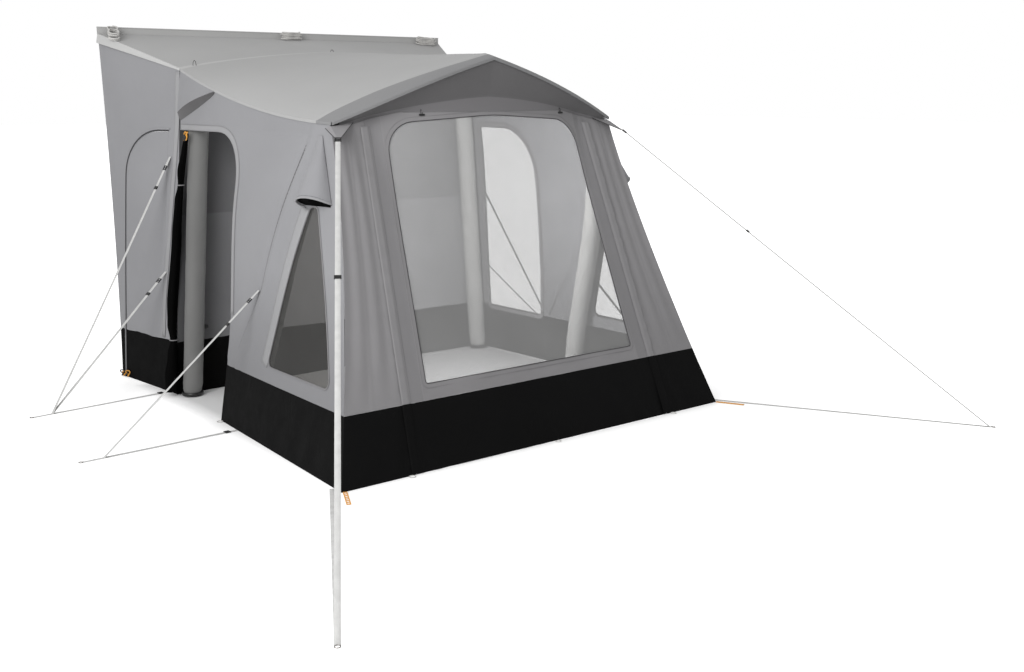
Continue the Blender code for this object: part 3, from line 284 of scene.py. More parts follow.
def tunnel_hinge_y(z):
    return mix(TUNNEL_DOOR_HINGE_FOOT_Y, TUNNEL_DOOR_HINGE_TOP_Y, z / TUNNEL_DOOR_TOP_Z)


# Outlines

def rounded(points, radii, steps=8):
    result = []
    count = len(points)
    for index, (corner, radius) in enumerate(zip(points, radii)):
        corner = Vector(corner)
        if radius <= 0:
            result.append(tuple(corner))
            continue
        before = (Vector(points[index - 1]) - corner).normalized()
        after = (Vector(points[(index + 1) % count]) - corner).normalized()
        half = before.angle(after) / 2
        reach = radius / math.tan(half)
        centre = corner + (before + after).normalized() * (radius / math.sin(half))
        start = corner + before * reach - centre
        turn = start.angle_signed(corner + after * reach - centre)
        for step in range(steps + 1):
            result.append(tuple(centre + Matrix.Rotation(-turn * step / steps, 2) @ start))
    return result


def offset_outline(points, distance):
    area = sum(a[0] * b[1] - b[0] * a[1] for a, b in zip(points, points[1:] + points[:1]))
    sign = 1.0 if area > 0 else -1.0
    moved = []
    count = len(points)
    for index, point in enumerate(points):
        point = Vector(point)
        before = (point - Vector(points[index - 1])).normalized()
        after = (Vector(points[(index + 1) % count]) - point).normalized()
        normal_a = Vector((before.y, -before.x)) * sign
        normal_b = Vector((after.y, -after.x)) * sign
        bisector = (normal_a + normal_b).normalized()
        moved.append(tuple(point + bisector * distance / max(0.5, bisector.dot(normal_a))))
    return moved


def front_window_outline():
    corners = [(-WINDOW_BOTTOM_HALF, WINDOW_BOTTOM_Z), (WINDOW_BOTTOM_HALF, WINDOW_BOTTOM_Z),
               (WINDOW_TOP_HALF, WINDOW_TOP_Z - 0.035), (0.0, WINDOW_TOP_Z + 0.004),
               (-WINDOW_TOP_HALF, WINDOW_TOP_Z - 0.035)]
    return rounded(corners, [0.012, 0.012, WINDOW_CORNER, 1.5, WINDOW_CORNER], 12)


def side_window_outline():
    return rounded(list(SIDE_WINDOW), [0.03, 0.03, 0.03, 0.03], steps=4)


def door_front_y(z):
    return DOOR_FRONT_Y + DOOR_TOE * clamp((DOOR_KNEE_Z - z) / (DOOR_KNEE_Z + 0.1))


def door_outline(bottom=-0.1):
    corners = [(door_front_y(bottom), bottom), (DOOR_REAR_Y, bottom), (DOOR_REAR_Y, DOOR_TOP_Z),
               (DOOR_FRONT_Y, DOOR_TOP_Z), (DOOR_FRONT_Y, DOOR_KNEE_Z)]
    return rounded(corners, [0, 0, 0.012, DOOR_CORNER, 0], steps=12)


def wall_door_cut():
    toe, *front = [point for point in door_outline() if point[0] < DOOR_REAR_Y - 0.02]
    return [(MAIN_DEPTH + 0.1, -0.1), (MAIN_DEPTH + 0.1, DOOR_TOP_Z)] + front + [toe]


def tunnel_door_outline(bottom=-0.1):
    foot_y = mix(TUNNEL_DOOR_REAR_FOOT_Y, TUNNEL_DOOR_REAR_TOP_Y, bottom / TUNNEL_DOOR_TOP_Z)
    corners = [(tunnel_hinge_y(bottom), bottom), (foot_y, bottom),
               (TUNNEL_DOOR_REAR_TOP_Y, TUNNEL_DOOR_TOP_Z), (TUNNEL_DOOR_HINGE_TOP_Y, TUNNEL_DOOR_TOP_Z)]
    return rounded(corners, [0, 0, TUNNEL_DOOR_CORNER, 0], steps=12)


# Materials

class Nodes:
    """Short-hand for building a material's node tree."""

    def __init__(self, name):
        self.material = bpy.data.materials.new(name)
        self.material.use_nodes = True
        self.tree = self.material.node_tree
        self.tree.nodes.clear()
        self.output = self.add("OutputMaterial")
        self.coords = self.add("TexCoord").outputs["Object"]

    def add(self, kind, *inputs, **values):
        """A node: values are attributes or inputs by name, and inputs come in their order."""
        node = self.tree.nodes.new("ShaderNode" + kind)
        for key, value in values.items():
            if hasattr(node, key):
                setattr(node, key, value)
            else:
                self.put(node.inputs[key.replace("_", " ")], value)
        for socket, value in zip(node.inputs, inputs):
            self.put(socket, value)
        return node

    def put(self, socket, value):
        if isinstance(value, bpy.types.Node):
            value = value.outputs[0]
        if isinstance(value, bpy.types.NodeSocket):
            self.tree.links.new(value, socket)
        else:
            socket.default_value = value

    def math(self, operation, *values):
        return self.add("Math", *values, operation=operation)

    def noise(self, scale, detail=3.0, roughness=0.5, vector=None, distortion=0.0):
        return self.add("TexNoise", Vector=vector or self.coords, Scale=scale, Detail=detail,
                        Roughness=roughness, Distortion=distortion)

    def wave(self, axis, scale):
        return self.add("TexWave", wave_type="BANDS", bands_direction=axis, Vector=self.coords,
                        Scale=scale).outputs["Fac"]

    def ramp(self, value, low, high, start=0.0, end=1.0):
        return self.add("MapRange", Value=value, From_Min=start, From_Max=end, To_Min=low, To_Max=high)

    def spread(self, value, low, high):
        """A ramp over the middle of a noise, where most of its values lie."""
        return self.ramp(value, low, high, 0.3, 0.7)

    def tint(self, colour, factor):
        return self.add("VectorMath", colour, operation="SCALE", Scale=factor)

    def blend(self, factor, a, b):
        node = self.add("Mix", data_type="RGBA", Factor=factor)
        self.put(node.inputs[6], a)
        self.put(node.inputs[7], b)
        return node.outputs[2]

    def bump(self, height, strength, distance, **normal):
        return self.add("Bump", Height=height, Strength=strength, Distance=distance, **normal)

    def finish(self, shader):
        self.put(self.output.inputs["Surface"], shader)
        return self.material


THREADS = 420.0              # waves of the weave's threads
DOOR_SHADE_X = (-1.05, -0.45)    # where the painted shade beside the open door fades out, in X
FOOT_SHADE = (0.30, 0.95)    # heights over which the painted shade at a wall's foot fades out
# soft edge of the painted shade over a wall's upper part
UPPER_SHADE_EDGE = 0.004


def fabric(name, colour, roughness, mottle, crease, specular, sheen=0.12, low=None, foot=0.0,
           end=1.0, upper_shade=None):
    """Coated woven polyester: broad tone changes, soft creases and a fine two-way weave.

    low is the colour below the mud wall's top, foot darkens the cloth towards the ground as painted
    shade, end is the tone of painted shade beside the open door, and upper_shade gives the height
    and tone of painted shade over the cloth's upper part.
    """
    n = Nodes(name)
    x, _, z = n.add("SeparateXYZ", n.coords).outputs
    middle = n.noise(11.0, 3.0, 0.55)
    tone = n.math("ADD", n.spread(n.noise(1.7, 2.0), -mottle, mottle),
                  n.spread(middle, -0.3 * mottle, 0.3 * mottle))
    tone = n.math("ADD", tone, 1.0)
    threads = n.math("ADD", n.wave("Z", THREADS),
                     n.math("MAXIMUM", n.wave("X", THREADS), n.wave("Y", THREADS)))
    factors = [n.ramp(threads, 0.985, 1.015, 0.0, 2.0)]
    if foot:
        # Painted shade: the cloth darker towards the ground
        factors.append(n.ramp(z, 1.0 - foot, 1.0, *FOOT_SHADE))
    # Painted shade: the cloth, and its mud band, darker beside the open door
    if end < 1.0:
        door_shade = n.ramp(x, end, 1.0, *DOOR_SHADE_X)
        factors.append(door_shade)
    # Painted shade: the cloth darker above a given height
    if upper_shade:
        height, upper_shade_tone = upper_shade
        factors.append(n.ramp(z, 1.0, upper_shade_tone, height - UPPER_SHADE_EDGE, height + UPPER_SHADE_EDGE))
    for factor in factors:
        tone = n.math("MULTIPLY", tone, factor)
    tinted = n.tint(colour, tone)
    if low:
        wavy = n.math("ADD", z, n.spread(n.noise(5.0, 2.0), -0.006, 0.006))
        below = n.math("LESS_THAN", wavy, MUD_HEIGHT)
        tinted = n.blend(below, tinted, n.tint(low, door_shade) if end < 1.0 else (*low, 1.0))
        specular, sheen = n.ramp(below, specular, 0.06), n.ramp(below, sheen, 0.0)
    creases = n.noise(4.5, 5.0, 0.55, n.add("Mapping", Vector=n.coords, Scale=(1.0, 1.0, 0.45)), 0.6)
    normal = n.bump(threads, 0.25, 0.0003, Normal=n.bump(creases, 0.35 * crease, 0.012))
    return n.finish(n.add(
        "BsdfPrincipled", Base_Color=tinted, Specular_IOR_Level=specular, Sheen_Weight=sheen,
        Sheen_Roughness=0.5, Roughness=n.spread(middle, roughness - 0.05, roughness + 0.05), Normal=normal))


VINYL = (0.97, 0.97, 0.97, 1.0)


def film_material(name, haze, haze_colour, gloss=0.50, tint=None, side=0):
    """Clear vinyl seen once: its back faces don't count. With a tint, the outer face is darker."""
    n = Nodes(name)
    colour = VINYL
    if tint:
        outward = n.add("SeparateXYZ", n.add("NewGeometry").outputs["True Normal"])
        outer = n.math("GREATER_THAN", n.math("MULTIPLY", outward, side), 0.0)
        colour = n.blend(outer, VINYL, (*tint, 1.0))
    clear = n.add("BsdfTransparent", Color=colour)
    veil = n.add("BsdfDiffuse", Color=n.tint(haze_colour, n.spread(n.noise(2.5, 2.0), 0.94, 1.06)))
    shine = n.add("BsdfGlossy", Roughness=0.12, Normal=n.bump(n.noise(3.0), 0.25, 0.01))
    film = n.add("MixShader", n.math("MULTIPLY", n.add("Fresnel", IOR=1.45), gloss),
                 n.add("MixShader", haze, clear, veil), shine)
    back = n.add("NewGeometry").outputs["Backfacing"]
    return n.finish(n.add("MixShader", back, film, n.add("BsdfTransparent")))


def plastic(name, colour):
    n = Nodes(name)
    grain = n.noise(900.0, 2.0)
    return n.finish(n.add(
        "BsdfPrincipled", Base_Color=n.tint(colour, n.spread(n.noise(60.0, 2.0), 0.9, 1.15)),
        Roughness=n.ramp(grain, 0.32, 0.46), Normal=n.bump(grain, 0.2, 0.0002)))


def steel(name, colour):
    n = Nodes(name)
    worn = n.noise(120.0)
    return n.finish(n.add("BsdfPrincipled", Base_Color=n.tint(colour, n.spread(worn, 0.8, 1.1)),
                          Metallic=1.0, Roughness=n.spread(worn, 0.28, 0.5)))


def braid(name, colour, pitch):
    """Cord or webbing: diagonal plait with a soft, fuzzy surface."""
    n = Nodes(name)
    plait = n.math("MAXIMUM", n.wave("DIAGONAL", pitch), n.wave("Z", pitch * 1.3))
    tone = n.math("MULTIPLY", n.ramp(plait, 0.86, 1.04), n.spread(n.noise(25.0, 2.0), 0.93, 1.07))
    return n.finish(n.add("BsdfPrincipled", Base_Color=n.tint(colour, tone), Roughness=0.78,
                          Sheen_Weight=0.2, Normal=n.bump(plait, 0.5, 0.0006)))


# Name, colour, roughness, mottle, crease and specular
ROOF = fabric("roof_fabric", (0.420, 0.420, 0.418), 0.66, 0.03, 0.6, 0.2)
ROOF_EDGE = fabric("roof_edge_fabric", (0.500, 0.500, 0.495), 0.66, 0.03, 0.5, 0.2)
# The fascia's darker grey is painted shade of the roof's cloth rounding down over the front beam
FASCIA_SHADE = fabric("fascia_painted_shade", (0.248, 0.248, 0.252), 0.70, 0.03, 0.5, 0.2)
# foot is painted shade towards the ground
WALL = fabric("wall_fabric", (0.290, 0.290, 0.302), 0.70, 0.04, 0.9, 0.2, foot=0.26)
FRONT = fabric("front_fabric", (0.270, 0.264, 0.271), 0.70, 0.04, 1.0, 0.2, foot=0.10)
# The front's cloth slightly darkened: painted shade in the bands along the zips, and the colour of stitching,
# ties and door borders
BAND_SHADE_AND_TRIM = fabric("band_shade_and_trim", (0.248, 0.243, 0.250), 0.70, 0.04, 0.8, 0.2, foot=0.12)
# The hem is the front's cloth darkened as painted shade
HEM_SHADE = fabric("hem_painted_shade", (0.190, 0.185, 0.191), 0.70, 0.04, 0.8, 0.2)
# The front's cloth darkened as painted shade: on the down-facing visor, in the beam seam's groove and under
# the wing gusset
VISOR_SHADE = fabric("visor_painted_shade", (0.148, 0.145, 0.148), 0.72, 0.04, 0.5, 0.15)
MUD_COLOUR = (0.0045, 0.0045, 0.0046)
MUD = fabric("mud_fabric", MUD_COLOUR, 0.62, 0.12, 1.3, 0.06, sheen=0.0)
DOOR = fabric("door_fabric", (0.285, 0.285, 0.297), 0.70, 0.04, 0.8, 0.2, low=MUD_COLOUR)
# The rear wall's inside: painted shade beside the open door and above 1.105 m
INNER = fabric("inner_fabric", (0.330, 0.330, 0.340), 0.75, 0.04, 0.8, 0.1, low=MUD_COLOUR, end=0.26,
               upper_shade=(1.105, 0.80))
TAPE = fabric("window_tape", (0.330, 0.330, 0.338), 0.62, 0.03, 0.4, 0.25, foot=0.15)
# The mud cloth darkened further as painted shade, on the rolled door and in the cowl's mouth
ROLL_SHADE = fabric("roll_painted_shade", tuple(0.32 * tone for tone in MUD_COLOUR), 0.70, 0.12, 1.3, 0.03, sheen=0.0)
PALE = fabric("pale_trim", (0.460, 0.460, 0.455), 0.66, 0.03, 0.4, 0.2)
DARK = fabric("dark_trim", (0.055, 0.054, 0.057), 0.70, 0.05, 0.3, 0.1)
# end: painted shade on the beam's leg beside the open door
BEAM = fabric("beam_sleeve", (0.500, 0.500, 0.490), 0.55, 0.06, 1.2, 0.2, end=0.34)
CLEAR = film_material("clear_film", 0.61, (0.365, 0.365, 0.363))
SIDE_CLEAR = film_material("door_film", 0.16, (0.40, 0.40, 0.39), 0.25)
SIDE_FILM = {side: film_material("side_film_" + word, 0.14, (0.33, 0.325, 0.315), 0.25,
                                 (0.25, 0.245, 0.236), side) for side, word in SIDES}
WEBBING = braid("webbing", (0.60, 0.60, 0.59), 520.0)
ORANGE = braid("orange_webbing", (0.78, 0.36, 0.045), 520.0)
CORD = braid("cord", (0.62, 0.61, 0.59), 900.0)
PLASTIC = plastic("moulded_plastic", (0.012, 0.012, 0.012))
STEEL = steel("ring_steel", (0.42, 0.40, 0.38))


# Mesh tools

SMOOTH_ANGLE = 50
CUTTER_DEPTH = 1.2
BODY = {name: body for body, empty in frame["bodies"].items()
        for name, made in frame["nodes"].items() if made.parent == empty}
sheets, cutters = [], []


def new_object(name, data, look, node=None, body="shell"):
    """An object that replaces a node and rides on its body, or else on the body given."""
    made = bpy.data.objects.new(name, data)
    for one in look if isinstance(look, list) else [look]:
        data.materials.append(one)
    scene.collection.objects.link(made)
    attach(made, BODY[node] if node else body)
    if node:
        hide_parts(node)
    return made


def to_mesh(name, bm, smooth_angle=None):
    mesh = bpy.data.meshes.new(name)
    bm.to_mesh(mesh)
    bm.free()
    if smooth_angle:
        mesh.shade_smooth()
        mesh.set_sharp_from_angle(angle=math.radians(smooth_angle))
    return mesh


def quads(bm, rows, closed=False):
    """Faces between rows of vertices, round them too if they are closed."""
    for low, high in zip(rows, rows[1:]):
        if closed:
            low, high = low + low[:1], high + high[:1]
        for corners in zip(low, low[1:], high[1:], high):
            bm.faces.new(corners)


def turn_outward(bm, outward):
    """Turns the faces round if most of them look the other way."""
    outward, facing = Vector(outward), 0.0
    for face in bm.faces:
        face.normal_update()
        facing += face.normal.dot(outward) * face.calc_area()
    if facing < 0:
        bmesh.ops.reverse_faces(bm, faces=bm.faces)


def thicken(made, thickness, offset):
    shell = made.modifiers.new("thickness", "SOLIDIFY")
    shell.thickness = thickness
    shell.offset = offset
    return shell


def ripple(point, size, stretch):
    """Height of the cloth's soft unevenness at a point."""
    a = noise.noise(Vector((point.x * 2.1, point.y * 2.1, point.z * 2.1 / stretch)))
    b = noise.noise(Vector((point.x * 6.5 + 7, point.y * 6.5, point.z * 6.5 / stretch)))
    return size * (0.7 * a + 0.3 * b)


def surface_length(surface, t, along_u):
    points = [Vector(surface(k / 24, t) if along_u else surface(t, k / 24)) for k in range(25)]
    return path_length(points)


def path_length(points):
    return sum((b - a).length for a, b in zip(points, points[1:]))


def sheet(name, look, surface, across, up, outward, node=None, wrinkle=0.002, stretch=2.5,
          thickness=CLOTH, pick=None, relief=None, edge=0.04, held="stretched"):
    """A cloth panel on surface(u, v); relief(u, v) adds height, pick(u, v) chooses its material."""
    bm = bmesh.new()
    spots = [[(i / across, j / up) for i in range(across + 1)] for j in range(up + 1)]
    rows = [[bm.verts.new(place(surface(*spot))) for spot in line] for line in spots]
    quads(bm, rows)
    if pick:
        for index, face in enumerate(bm.faces):
            face.material_index = pick((index % across + 0.5) / across, (index // across + 0.5) / up)
    turn_outward(bm, outward)
    for vert in bm.verts:
        vert.normal_update()
    moves = []
    for row, line in zip(rows, spots):
        for vert, (u, v) in zip(row, line):
            fade = smooth(min(u, 1 - u) / edge) * smooth(min(v, 1 - v) / edge) if edge else 1.0
            height = fade * ripple(vert.co, wrinkle, stretch) + (relief(u, v) if relief else 0.0)
            moves.append((vert, vert.normal * height))
    for vert, move in moves:
        vert.co += move
    made = new_object(name, to_mesh(name, bm, SMOOTH_ANGLE), look, node)
    thicken(made, thickness, -1.0).use_even_offset = True
    made["flat"] = [1.02 * max(surface_length(surface, t, along_u) for t in (0.0, 0.5, 1.0))
                    for along_u in (True, False)]
    made["held"] = held
    sheets.append(made)
    return made


def cut(made, name, points, side=0.0, operation="DIFFERENCE"):
    """Cuts by an outline in Y and Z at one side, or in X and Z over the front."""
    if side:
        ends = [[(x, a, b) for a, b in points]
                for x in (side * (BASE_HALF - CUTTER_DEPTH / 2), side * (BASE_HALF + CUTTER_DEPTH / 2))]
    else:
        ends = [[(a, y, b) for a, b in points] for y in (-1.0, 1.3)]
    bm = bmesh.new()
    rows = [[bm.verts.new(place(point)) for point in end] for end in ends]
    quads(bm, rows, closed=True)
    bm.faces.new(rows[0])
    bm.faces.new(list(reversed(rows[1])))
    bmesh.ops.recalc_face_normals(bm, faces=bm.faces)
    cutter = bpy.data.objects.new(name, to_mesh(name, bm))
    scene.collection.objects.link(cutter)
    cutters.append(cutter)
    step = made.modifiers.new(operation.lower(), "BOOLEAN")
    step.operation = operation
    step.solver = "EXACT"
    step.object = cutter


def bake(made):
    """Applies the modifiers, so that nothing depends on the cutters."""
    evaluated = made.evaluated_get(bpy.context.evaluated_depsgraph_get())
    mesh = bpy.data.meshes.new_from_object(evaluated)
    made.modifiers.clear()
    old = made.data
    made.data = mesh
    bpy.data.meshes.remove(old)
    mesh.shade_smooth()
    mesh.set_sharp_from_angle(angle=math.radians(SMOOTH_ANGLE))


def tube(name, points, radius, look, node=None, body="shell", resolution=3, radii=None):
    curve = bpy.data.curves.new(name, "CURVE")
    curve.dimensions = "3D"
    curve.bevel_depth = radius
    curve.bevel_resolution = resolution
    curve.use_fill_caps = True
    spline = curve.splines.new("POLY")
    spline.points.add(len(points) - 1)
    for k, (target, point) in enumerate(zip(spline.points, points)):
        target.co = (*place(point), 1.0)
        target.radius = radii[k] if radii else 1.0
    spline.use_smooth = True
    return new_object(name, curve, look, node, body)


def arch(count, point, turn=math.pi):
    """Points over a turn; point gives each from its cosine and sine."""
    angles = (turn * k / count for k in range(count + 1))
    return [Vector(point(math.cos(a), math.sin(a))) for a in angles]


def circle(count, point):
    return arch(count, point, 2 * math.pi)


def catmull(points, per_span=6):
    points = [Vector(point) for point in points]
    path = []
    for k in range(len(points) - 1):
        p0, p1, p2 = points[max(0, k - 1)], points[k], points[k + 1]
        p3 = points[min(len(points) - 1, k + 2)]
        for t in (step / per_span for step in range(per_span)):
            path.append(0.5 * ((2 * p1) + (p2 - p0) * t + (2 * p0 - 5 * p1 + 4 * p2 - p3) * t * t
                               + (3 * p1 - p0 - 3 * p2 + p3) * t ** 3))
    return path + [points[-1]]


def dense_path(points, step=0.03):
    points = [Vector(point) for point in points]
    dense = []
    for a, b in zip(points, points[1:]):
        count = max(1, int((b - a).length / step))
        dense += [a.lerp(b, k / count) for k in range(count)]
    return dense + points[-1:]


def box(name, size, origin, axes, look, bevel):
    bm = bmesh.new()
    turned = Matrix(axes).transposed().to_4x4()
    matrix = Matrix.Translation(place(origin)) @ turned @ Matrix.Diagonal((*size, 1.0))
    bmesh.ops.create_cube(bm, size=1.0, matrix=matrix)
    bmesh.ops.recalc_face_normals(bm, faces=bm.faces)
    bmesh.ops.bevel(bm, geom=bm.edges[:], offset=bevel, segments=2, affect="EDGES", profile=0.7)
    return new_object(name, to_mesh(name, bm, 35), look)


# Cord hanks, lying on the tunnel roof against the van edge

HANK_CORD = 0.0075
HANK_LOOPS = 5
HANK_STEPS = 24
HANK_WIDTH = 0.066


def tunnel_roof_z(s, y, v):
    """Height of the tunnel's roof at s from -1 to 1 across it and v from 0 to 1 along it."""
    seam_x = roof_edge_x(MAIN_DEPTH)
    drop = mix(rear_arch_z(seam_x), VAN_Z, v) - tunnel_eave_z(y)
    return mix(rear_arch_z(s * seam_x), VAN_Z, v) - drop * abs(s) ** SHOULDER


def tunnel_roof_x(y):
    return tunnel_x(y, tunnel_eave_z(y)) + EDGE_OUT


def hank_path(centre, length, turned):
    """Loops drawn in at the waist, laid on the tunnel roof, each one cord above the last."""
    pitch = HANK_CORD * 1.30
    rest = HANK_CORD / 2 + 6 * GAP
    points = []
    for index in range(HANK_LOOPS * HANK_STEPS + 1):
        turn = index / HANK_STEPS
        angle = 2 * math.pi * turn
        along = math.cos(angle) * length / 2 * (1 + 0.14 * math.sin(turn * 2.3 + centre[0]))
        turned += 0.0045 * math.cos(turn * 2.1 + centre[0])
        waist = 0.42 + 0.58 * abs(math.cos(angle)) ** 1.3
        across = math.sin(angle) * HANK_WIDTH / 2 * waist * 1.6
        x = centre[0] + along * math.cos(turned) - across * math.sin(turned)
        y = centre[1] + along * math.sin(turned) + across * math.cos(turned)
        z = tunnel_roof_z(x / tunnel_roof_x(y), y, (y - MAIN_DEPTH) / (VAN_Y - MAIN_DEPTH))
        points.append(Vector((x, y, z + rest + pitch * turn)))
    return points


def van_cords():
    for word, x, y, length, turned in (("left", -1.212, 2.762, 0.1491, 1.20),
                                       ("centre", 0.030, 2.800, 0.1420, 0.12),
                                       ("right", 1.140, 2.800, 0.1420, -0.08)):
        path = hank_path((x, y), length, turned)
        made = tube("hank_" + word, path, HANK_CORD / 2, CORD, "van_cord_" + word, resolution=4)


# Roof

FASCIA_ROWS = 10
ROOF_ROWS = 96
FASCIA_SHARE = FASCIA_ROWS / ROOF_ROWS
FASCIA_WIDTH = 0.060         # band of painted shade between the roof's cloth and its front edge, where it rounds down
FASCIA_CORNER = 0.130        # the same towards the corners, where it turns down onto the wall
LIP_CORNER_Y = lip_y(roof_edge_x(LIP_Y + LIP_SWEEP))
BINDING = ((0.007, 0.0), (-0.0012, 0.0004), (-0.0026, 0.003), (-0.0018, 0.010), (-0.001, 0.018))
HEM_LAP = 0.004              # the visor's hem hangs this far over the panel's top edge


def fascia_width(x):
    return mix(FASCIA_WIDTH, FASCIA_CORNER, smooth(abs(x) / 0.62))


def crowded(u):
    """From -1 to 1 across a roof, with more columns near its edges."""
    s = 2 * u - 1
    return math.copysign(1 - (1 - abs(s)) ** 1.35, s)


def main_roof():
    split = FASCIA_SHARE

    def surface(u, v):
        y = LIP_CORNER_Y
        for _ in range(3):
            x = crowded(u) * roof_edge_x(y)
            front = lip_y(x)
            seam = front + fascia_width(x)
            y = mix(front, seam, v / split) if v < split else mix(seam, MAIN_DEPTH, (v - split) / (1 - split))
        return x, y, roof_z(x, y)

    def relief(u, v):
        sag = -0.010 * math.sin(math.pi * v) ** 2 * math.sin(math.pi * u)
        seams = 0.0012 * bell(v - 0.985, 0.006) + 0.0022 * bell(v - split - 0.012, 0.010)
        return sag + seams - 0.0016 * bell(v - split, 0.006)

    sheet("main_roof_cloth", [ROOF, ROOF_EDGE, FASCIA_SHADE], surface, 150, ROOF_ROWS, (0, 0, 1), "main_roof",
          wrinkle=0.0022, relief=relief, pick=lambda u, v: 2 if v < split else (1 if v > 0.988 else 0))

    def binding(u, v):
        x = (2 * u - 1) * (EAVE_FRONT_HALF + 0.0005)
        reach, fall = BINDING[round(4 * v)]
        return x, lip_y(x) + reach, roof_z(x, lip_y(x) + max(0.0, reach)) + 0.0012 - fall

    sheet("roof_front_binding", FASCIA_SHADE, binding, 120, 4, (0, -1, 0.4), wrinkle=0.0, edge=0)


def roof_hem(side, word):
    def hem(u, v):
        y = mix(LIP_CORNER_Y + 0.002, MAIN_DEPTH, u)
        z = mix(roof_z(roof_edge_x(y), y) + 0.0012, eave_z(y) - 0.014, v)
        return on_side(side, y, z, EDGE_OUT + 0.0006)

    # The hem's front end, where it turns down, takes the fascia's painted shade
    turn = FASCIA_CORNER / (MAIN_DEPTH - LIP_Y - LIP_SWEEP)
    sheet("main_roof_hem_" + word, [ROOF, FASCIA_SHADE], hem, 120, 3, (side, 0, 0), wrinkle=0.0004, edge=0,
          pick=lambda u, v: 1 if u < turn else 0)


def tunnel_roof():
    def surface(u, v):
        y = mix(MAIN_DEPTH, VAN_Y - 0.002, v)
        return crowded(u) * tunnel_roof_x(y), y, tunnel_roof_z(crowded(u), y, v)

    sheet("tunnel_roof_cloth", [ROOF, ROOF_EDGE], surface, 120, 40, (0, 0, 1), "tunnel_roof", wrinkle=0.0025,
          relief=lambda u, v: -0.004 * math.sin(math.pi * v) * math.sin(math.pi * u) ** 0.5,
          pick=lambda u, v: 1 if v < 0.02 else 0)


def tunnel_hem(side, word):
    def hem(u, v):
        y = mix(MAIN_DEPTH, VAN_Y - 0.002, u)
        z = tunnel_eave_z(y) + 0.001 - v * mix(0.014, 0.055, u)
        return on_side(side, y, z, EDGE_OUT + 0.012 * u * v, tunnel_x)

    sheet("tunnel_roof_hem_" + word, ROOF_EDGE, hem, 50, 6, (side, 0, 0), wrinkle=0.0012, edge=0)


def visor():
    split, binding = 0.22, 0.90

    def surface(u, v):
        x = (2 * u - 1) * (EAVE_FRONT_HALF - 0.045)
        seam_z = arch_seam_z(x)
        if v < split:
            z = mix(hem_z(x) - HEM_LAP, seam_z, v / split)
            return on_front(x, z, 0.0022 * smooth(1 - v / split * 3))
        high = Vector((x, lip_y(x) + 0.003, lip_z(x) - 0.0045))
        return on_front(x, seam_z).lerp(high, (v - split) / (1 - split))

    # The visor takes painted shade, its hem the hem's painted shade
    sheet("visor_cloth", [VISOR_SHADE, HEM_SHADE, VISOR_SHADE], surface, 140, 50, (0, -1, 0), "front_visor",
          wrinkle=0.0015, pick=lambda u, v: 1 if v < split else (2 if v > binding else 0),
          relief=lambda u, v: 0.0016 * bell(v - split, 0.02) + 0.001 * bell(v - binding, 0.02))


def hem_toggles():
    """Two elastic toggles on the visor's hem, for holding the rolled front."""
    up = Vector((0.0, LEAN, 1.0)).normalized()
    for word, x in (("left", -0.430), ("right", 0.541)):
        foot = on_front(x, 1.716, 0.004)
        loop = arch(12, lambda c, s: foot + up * (0.004 + 0.026 * s) + Vector((0.005 * c, 0, 0)))
        tube("hem_toggle_cord_" + word, loop, 0.0012, PLASTIC, resolution=2)
        box("hem_toggle_" + word, (0.032, 0.009, 0.008), foot + up * 0.001,
            (Vector((1, 0, 0)), up, FRONT_NORMAL), PLASTIC, bevel=0.002)


def roof_loops():
    """Small elastic loops that stand on the rear seam of the roof."""
    for word, x, y, height in (("middle", -0.010, 2.190, 0.012), ("left", -0.945, 2.196, 0.030)):
        base = roof_z(x, y) + 0.001
        tube("roof_loop_" + word, arch(14, lambda c, s: (x + 0.010 * c, y, base + height * s)), 0.0016,
             PLASTIC, resolution=2)


# Front face

BAND_SHARE = 0.062           # width of the bands of painted shade along the front panel's zips, over its own width


def front_parts():
    window = front_window_outline()

    def panel(u, v):
        x = (2 * u - 1) * zip_x(mix(MUD_HEIGHT, FOLD_Z, v))
        z = mix(MUD_HEIGHT, hem_z(x) - EDGE_GAP, v)
        x = (2 * u - 1) * (zip_x(z) - EDGE_GAP)
        return x, front_y(x, z), z

    def panel_relief(u, v):
        pull = 0.0016 * math.sin(u * 34 + 3 * math.sin(v * 5)) * math.exp(-v * 14)
        return pull + 0.0014 * bell(min(u, 1 - u) - BAND_SHARE, 0.006)

    made = sheet("front_panel_cloth", [FRONT, BAND_SHADE_AND_TRIM], panel, 150, 120, (0, -1, 0), "front_panel",
                 wrinkle=0.0030, stretch=1.5, relief=panel_relief,
                 pick=lambda u, v: 1 if min(u, 1 - u) < BAND_SHARE else 0)
    cut(made, "front_window_cut", window)

    def film(u, v):
        x = (2 * u - 1) * (WINDOW_BOTTOM_HALF + 2 * FILM_LAP)
        return on_front(x, mix(WINDOW_BOTTOM_Z - 2 * FILM_LAP, FOLD_Z - EDGE_GAP, v), -FABRIC - 0.001)

    made = sheet("front_window_film", CLEAR, film, 80, 80, (0, -1, 0), "front_window", thickness=FILM)
    cut(made, "front_film_keep", offset_outline(window, FILM_LAP), operation="INTERSECT")

    for name, grow, radius, look in (("piping", 0.002, 0.0020, DARK), ("stitch", 0.024, 0.0009, BAND_SHADE_AND_TRIM)):
        ring = offset_outline(window, grow)
        path = [on_front(x, z, 0.0012) for x, z in dense_path(ring + ring[:1], 0.02)]
        tube("window_" + name, path, radius, look, body=BODY["front_panel"], resolution=1)

    def mudwall(u, v):
        z = mix(GAP * 4, MUD_HEIGHT - GAP, v)
        x = (2 * u - 1) * (zip_x(z) - EDGE_GAP)
        return x, front_y(x, z), z

    def mud_relief(u, v):
        ruck = 0.0045 * math.sin(u * 61 + 4 * math.sin(u * 13) + v * 2.5) * math.exp(-v * 3.5)
        return ruck + 0.0030 * math.sin(u * 17 + v * 4) * math.sin(math.pi * v)

    sheet("front_mudwall_cloth", MUD, mudwall, 160, 30, (0, -1, 0), "front_mudwall", wrinkle=0.004,
          stretch=0.8, relief=mud_relief)
    peg_loop("middle_peg_loop_cord", 0.026, 0.0, (0, -1), BODY["front_mudwall"])


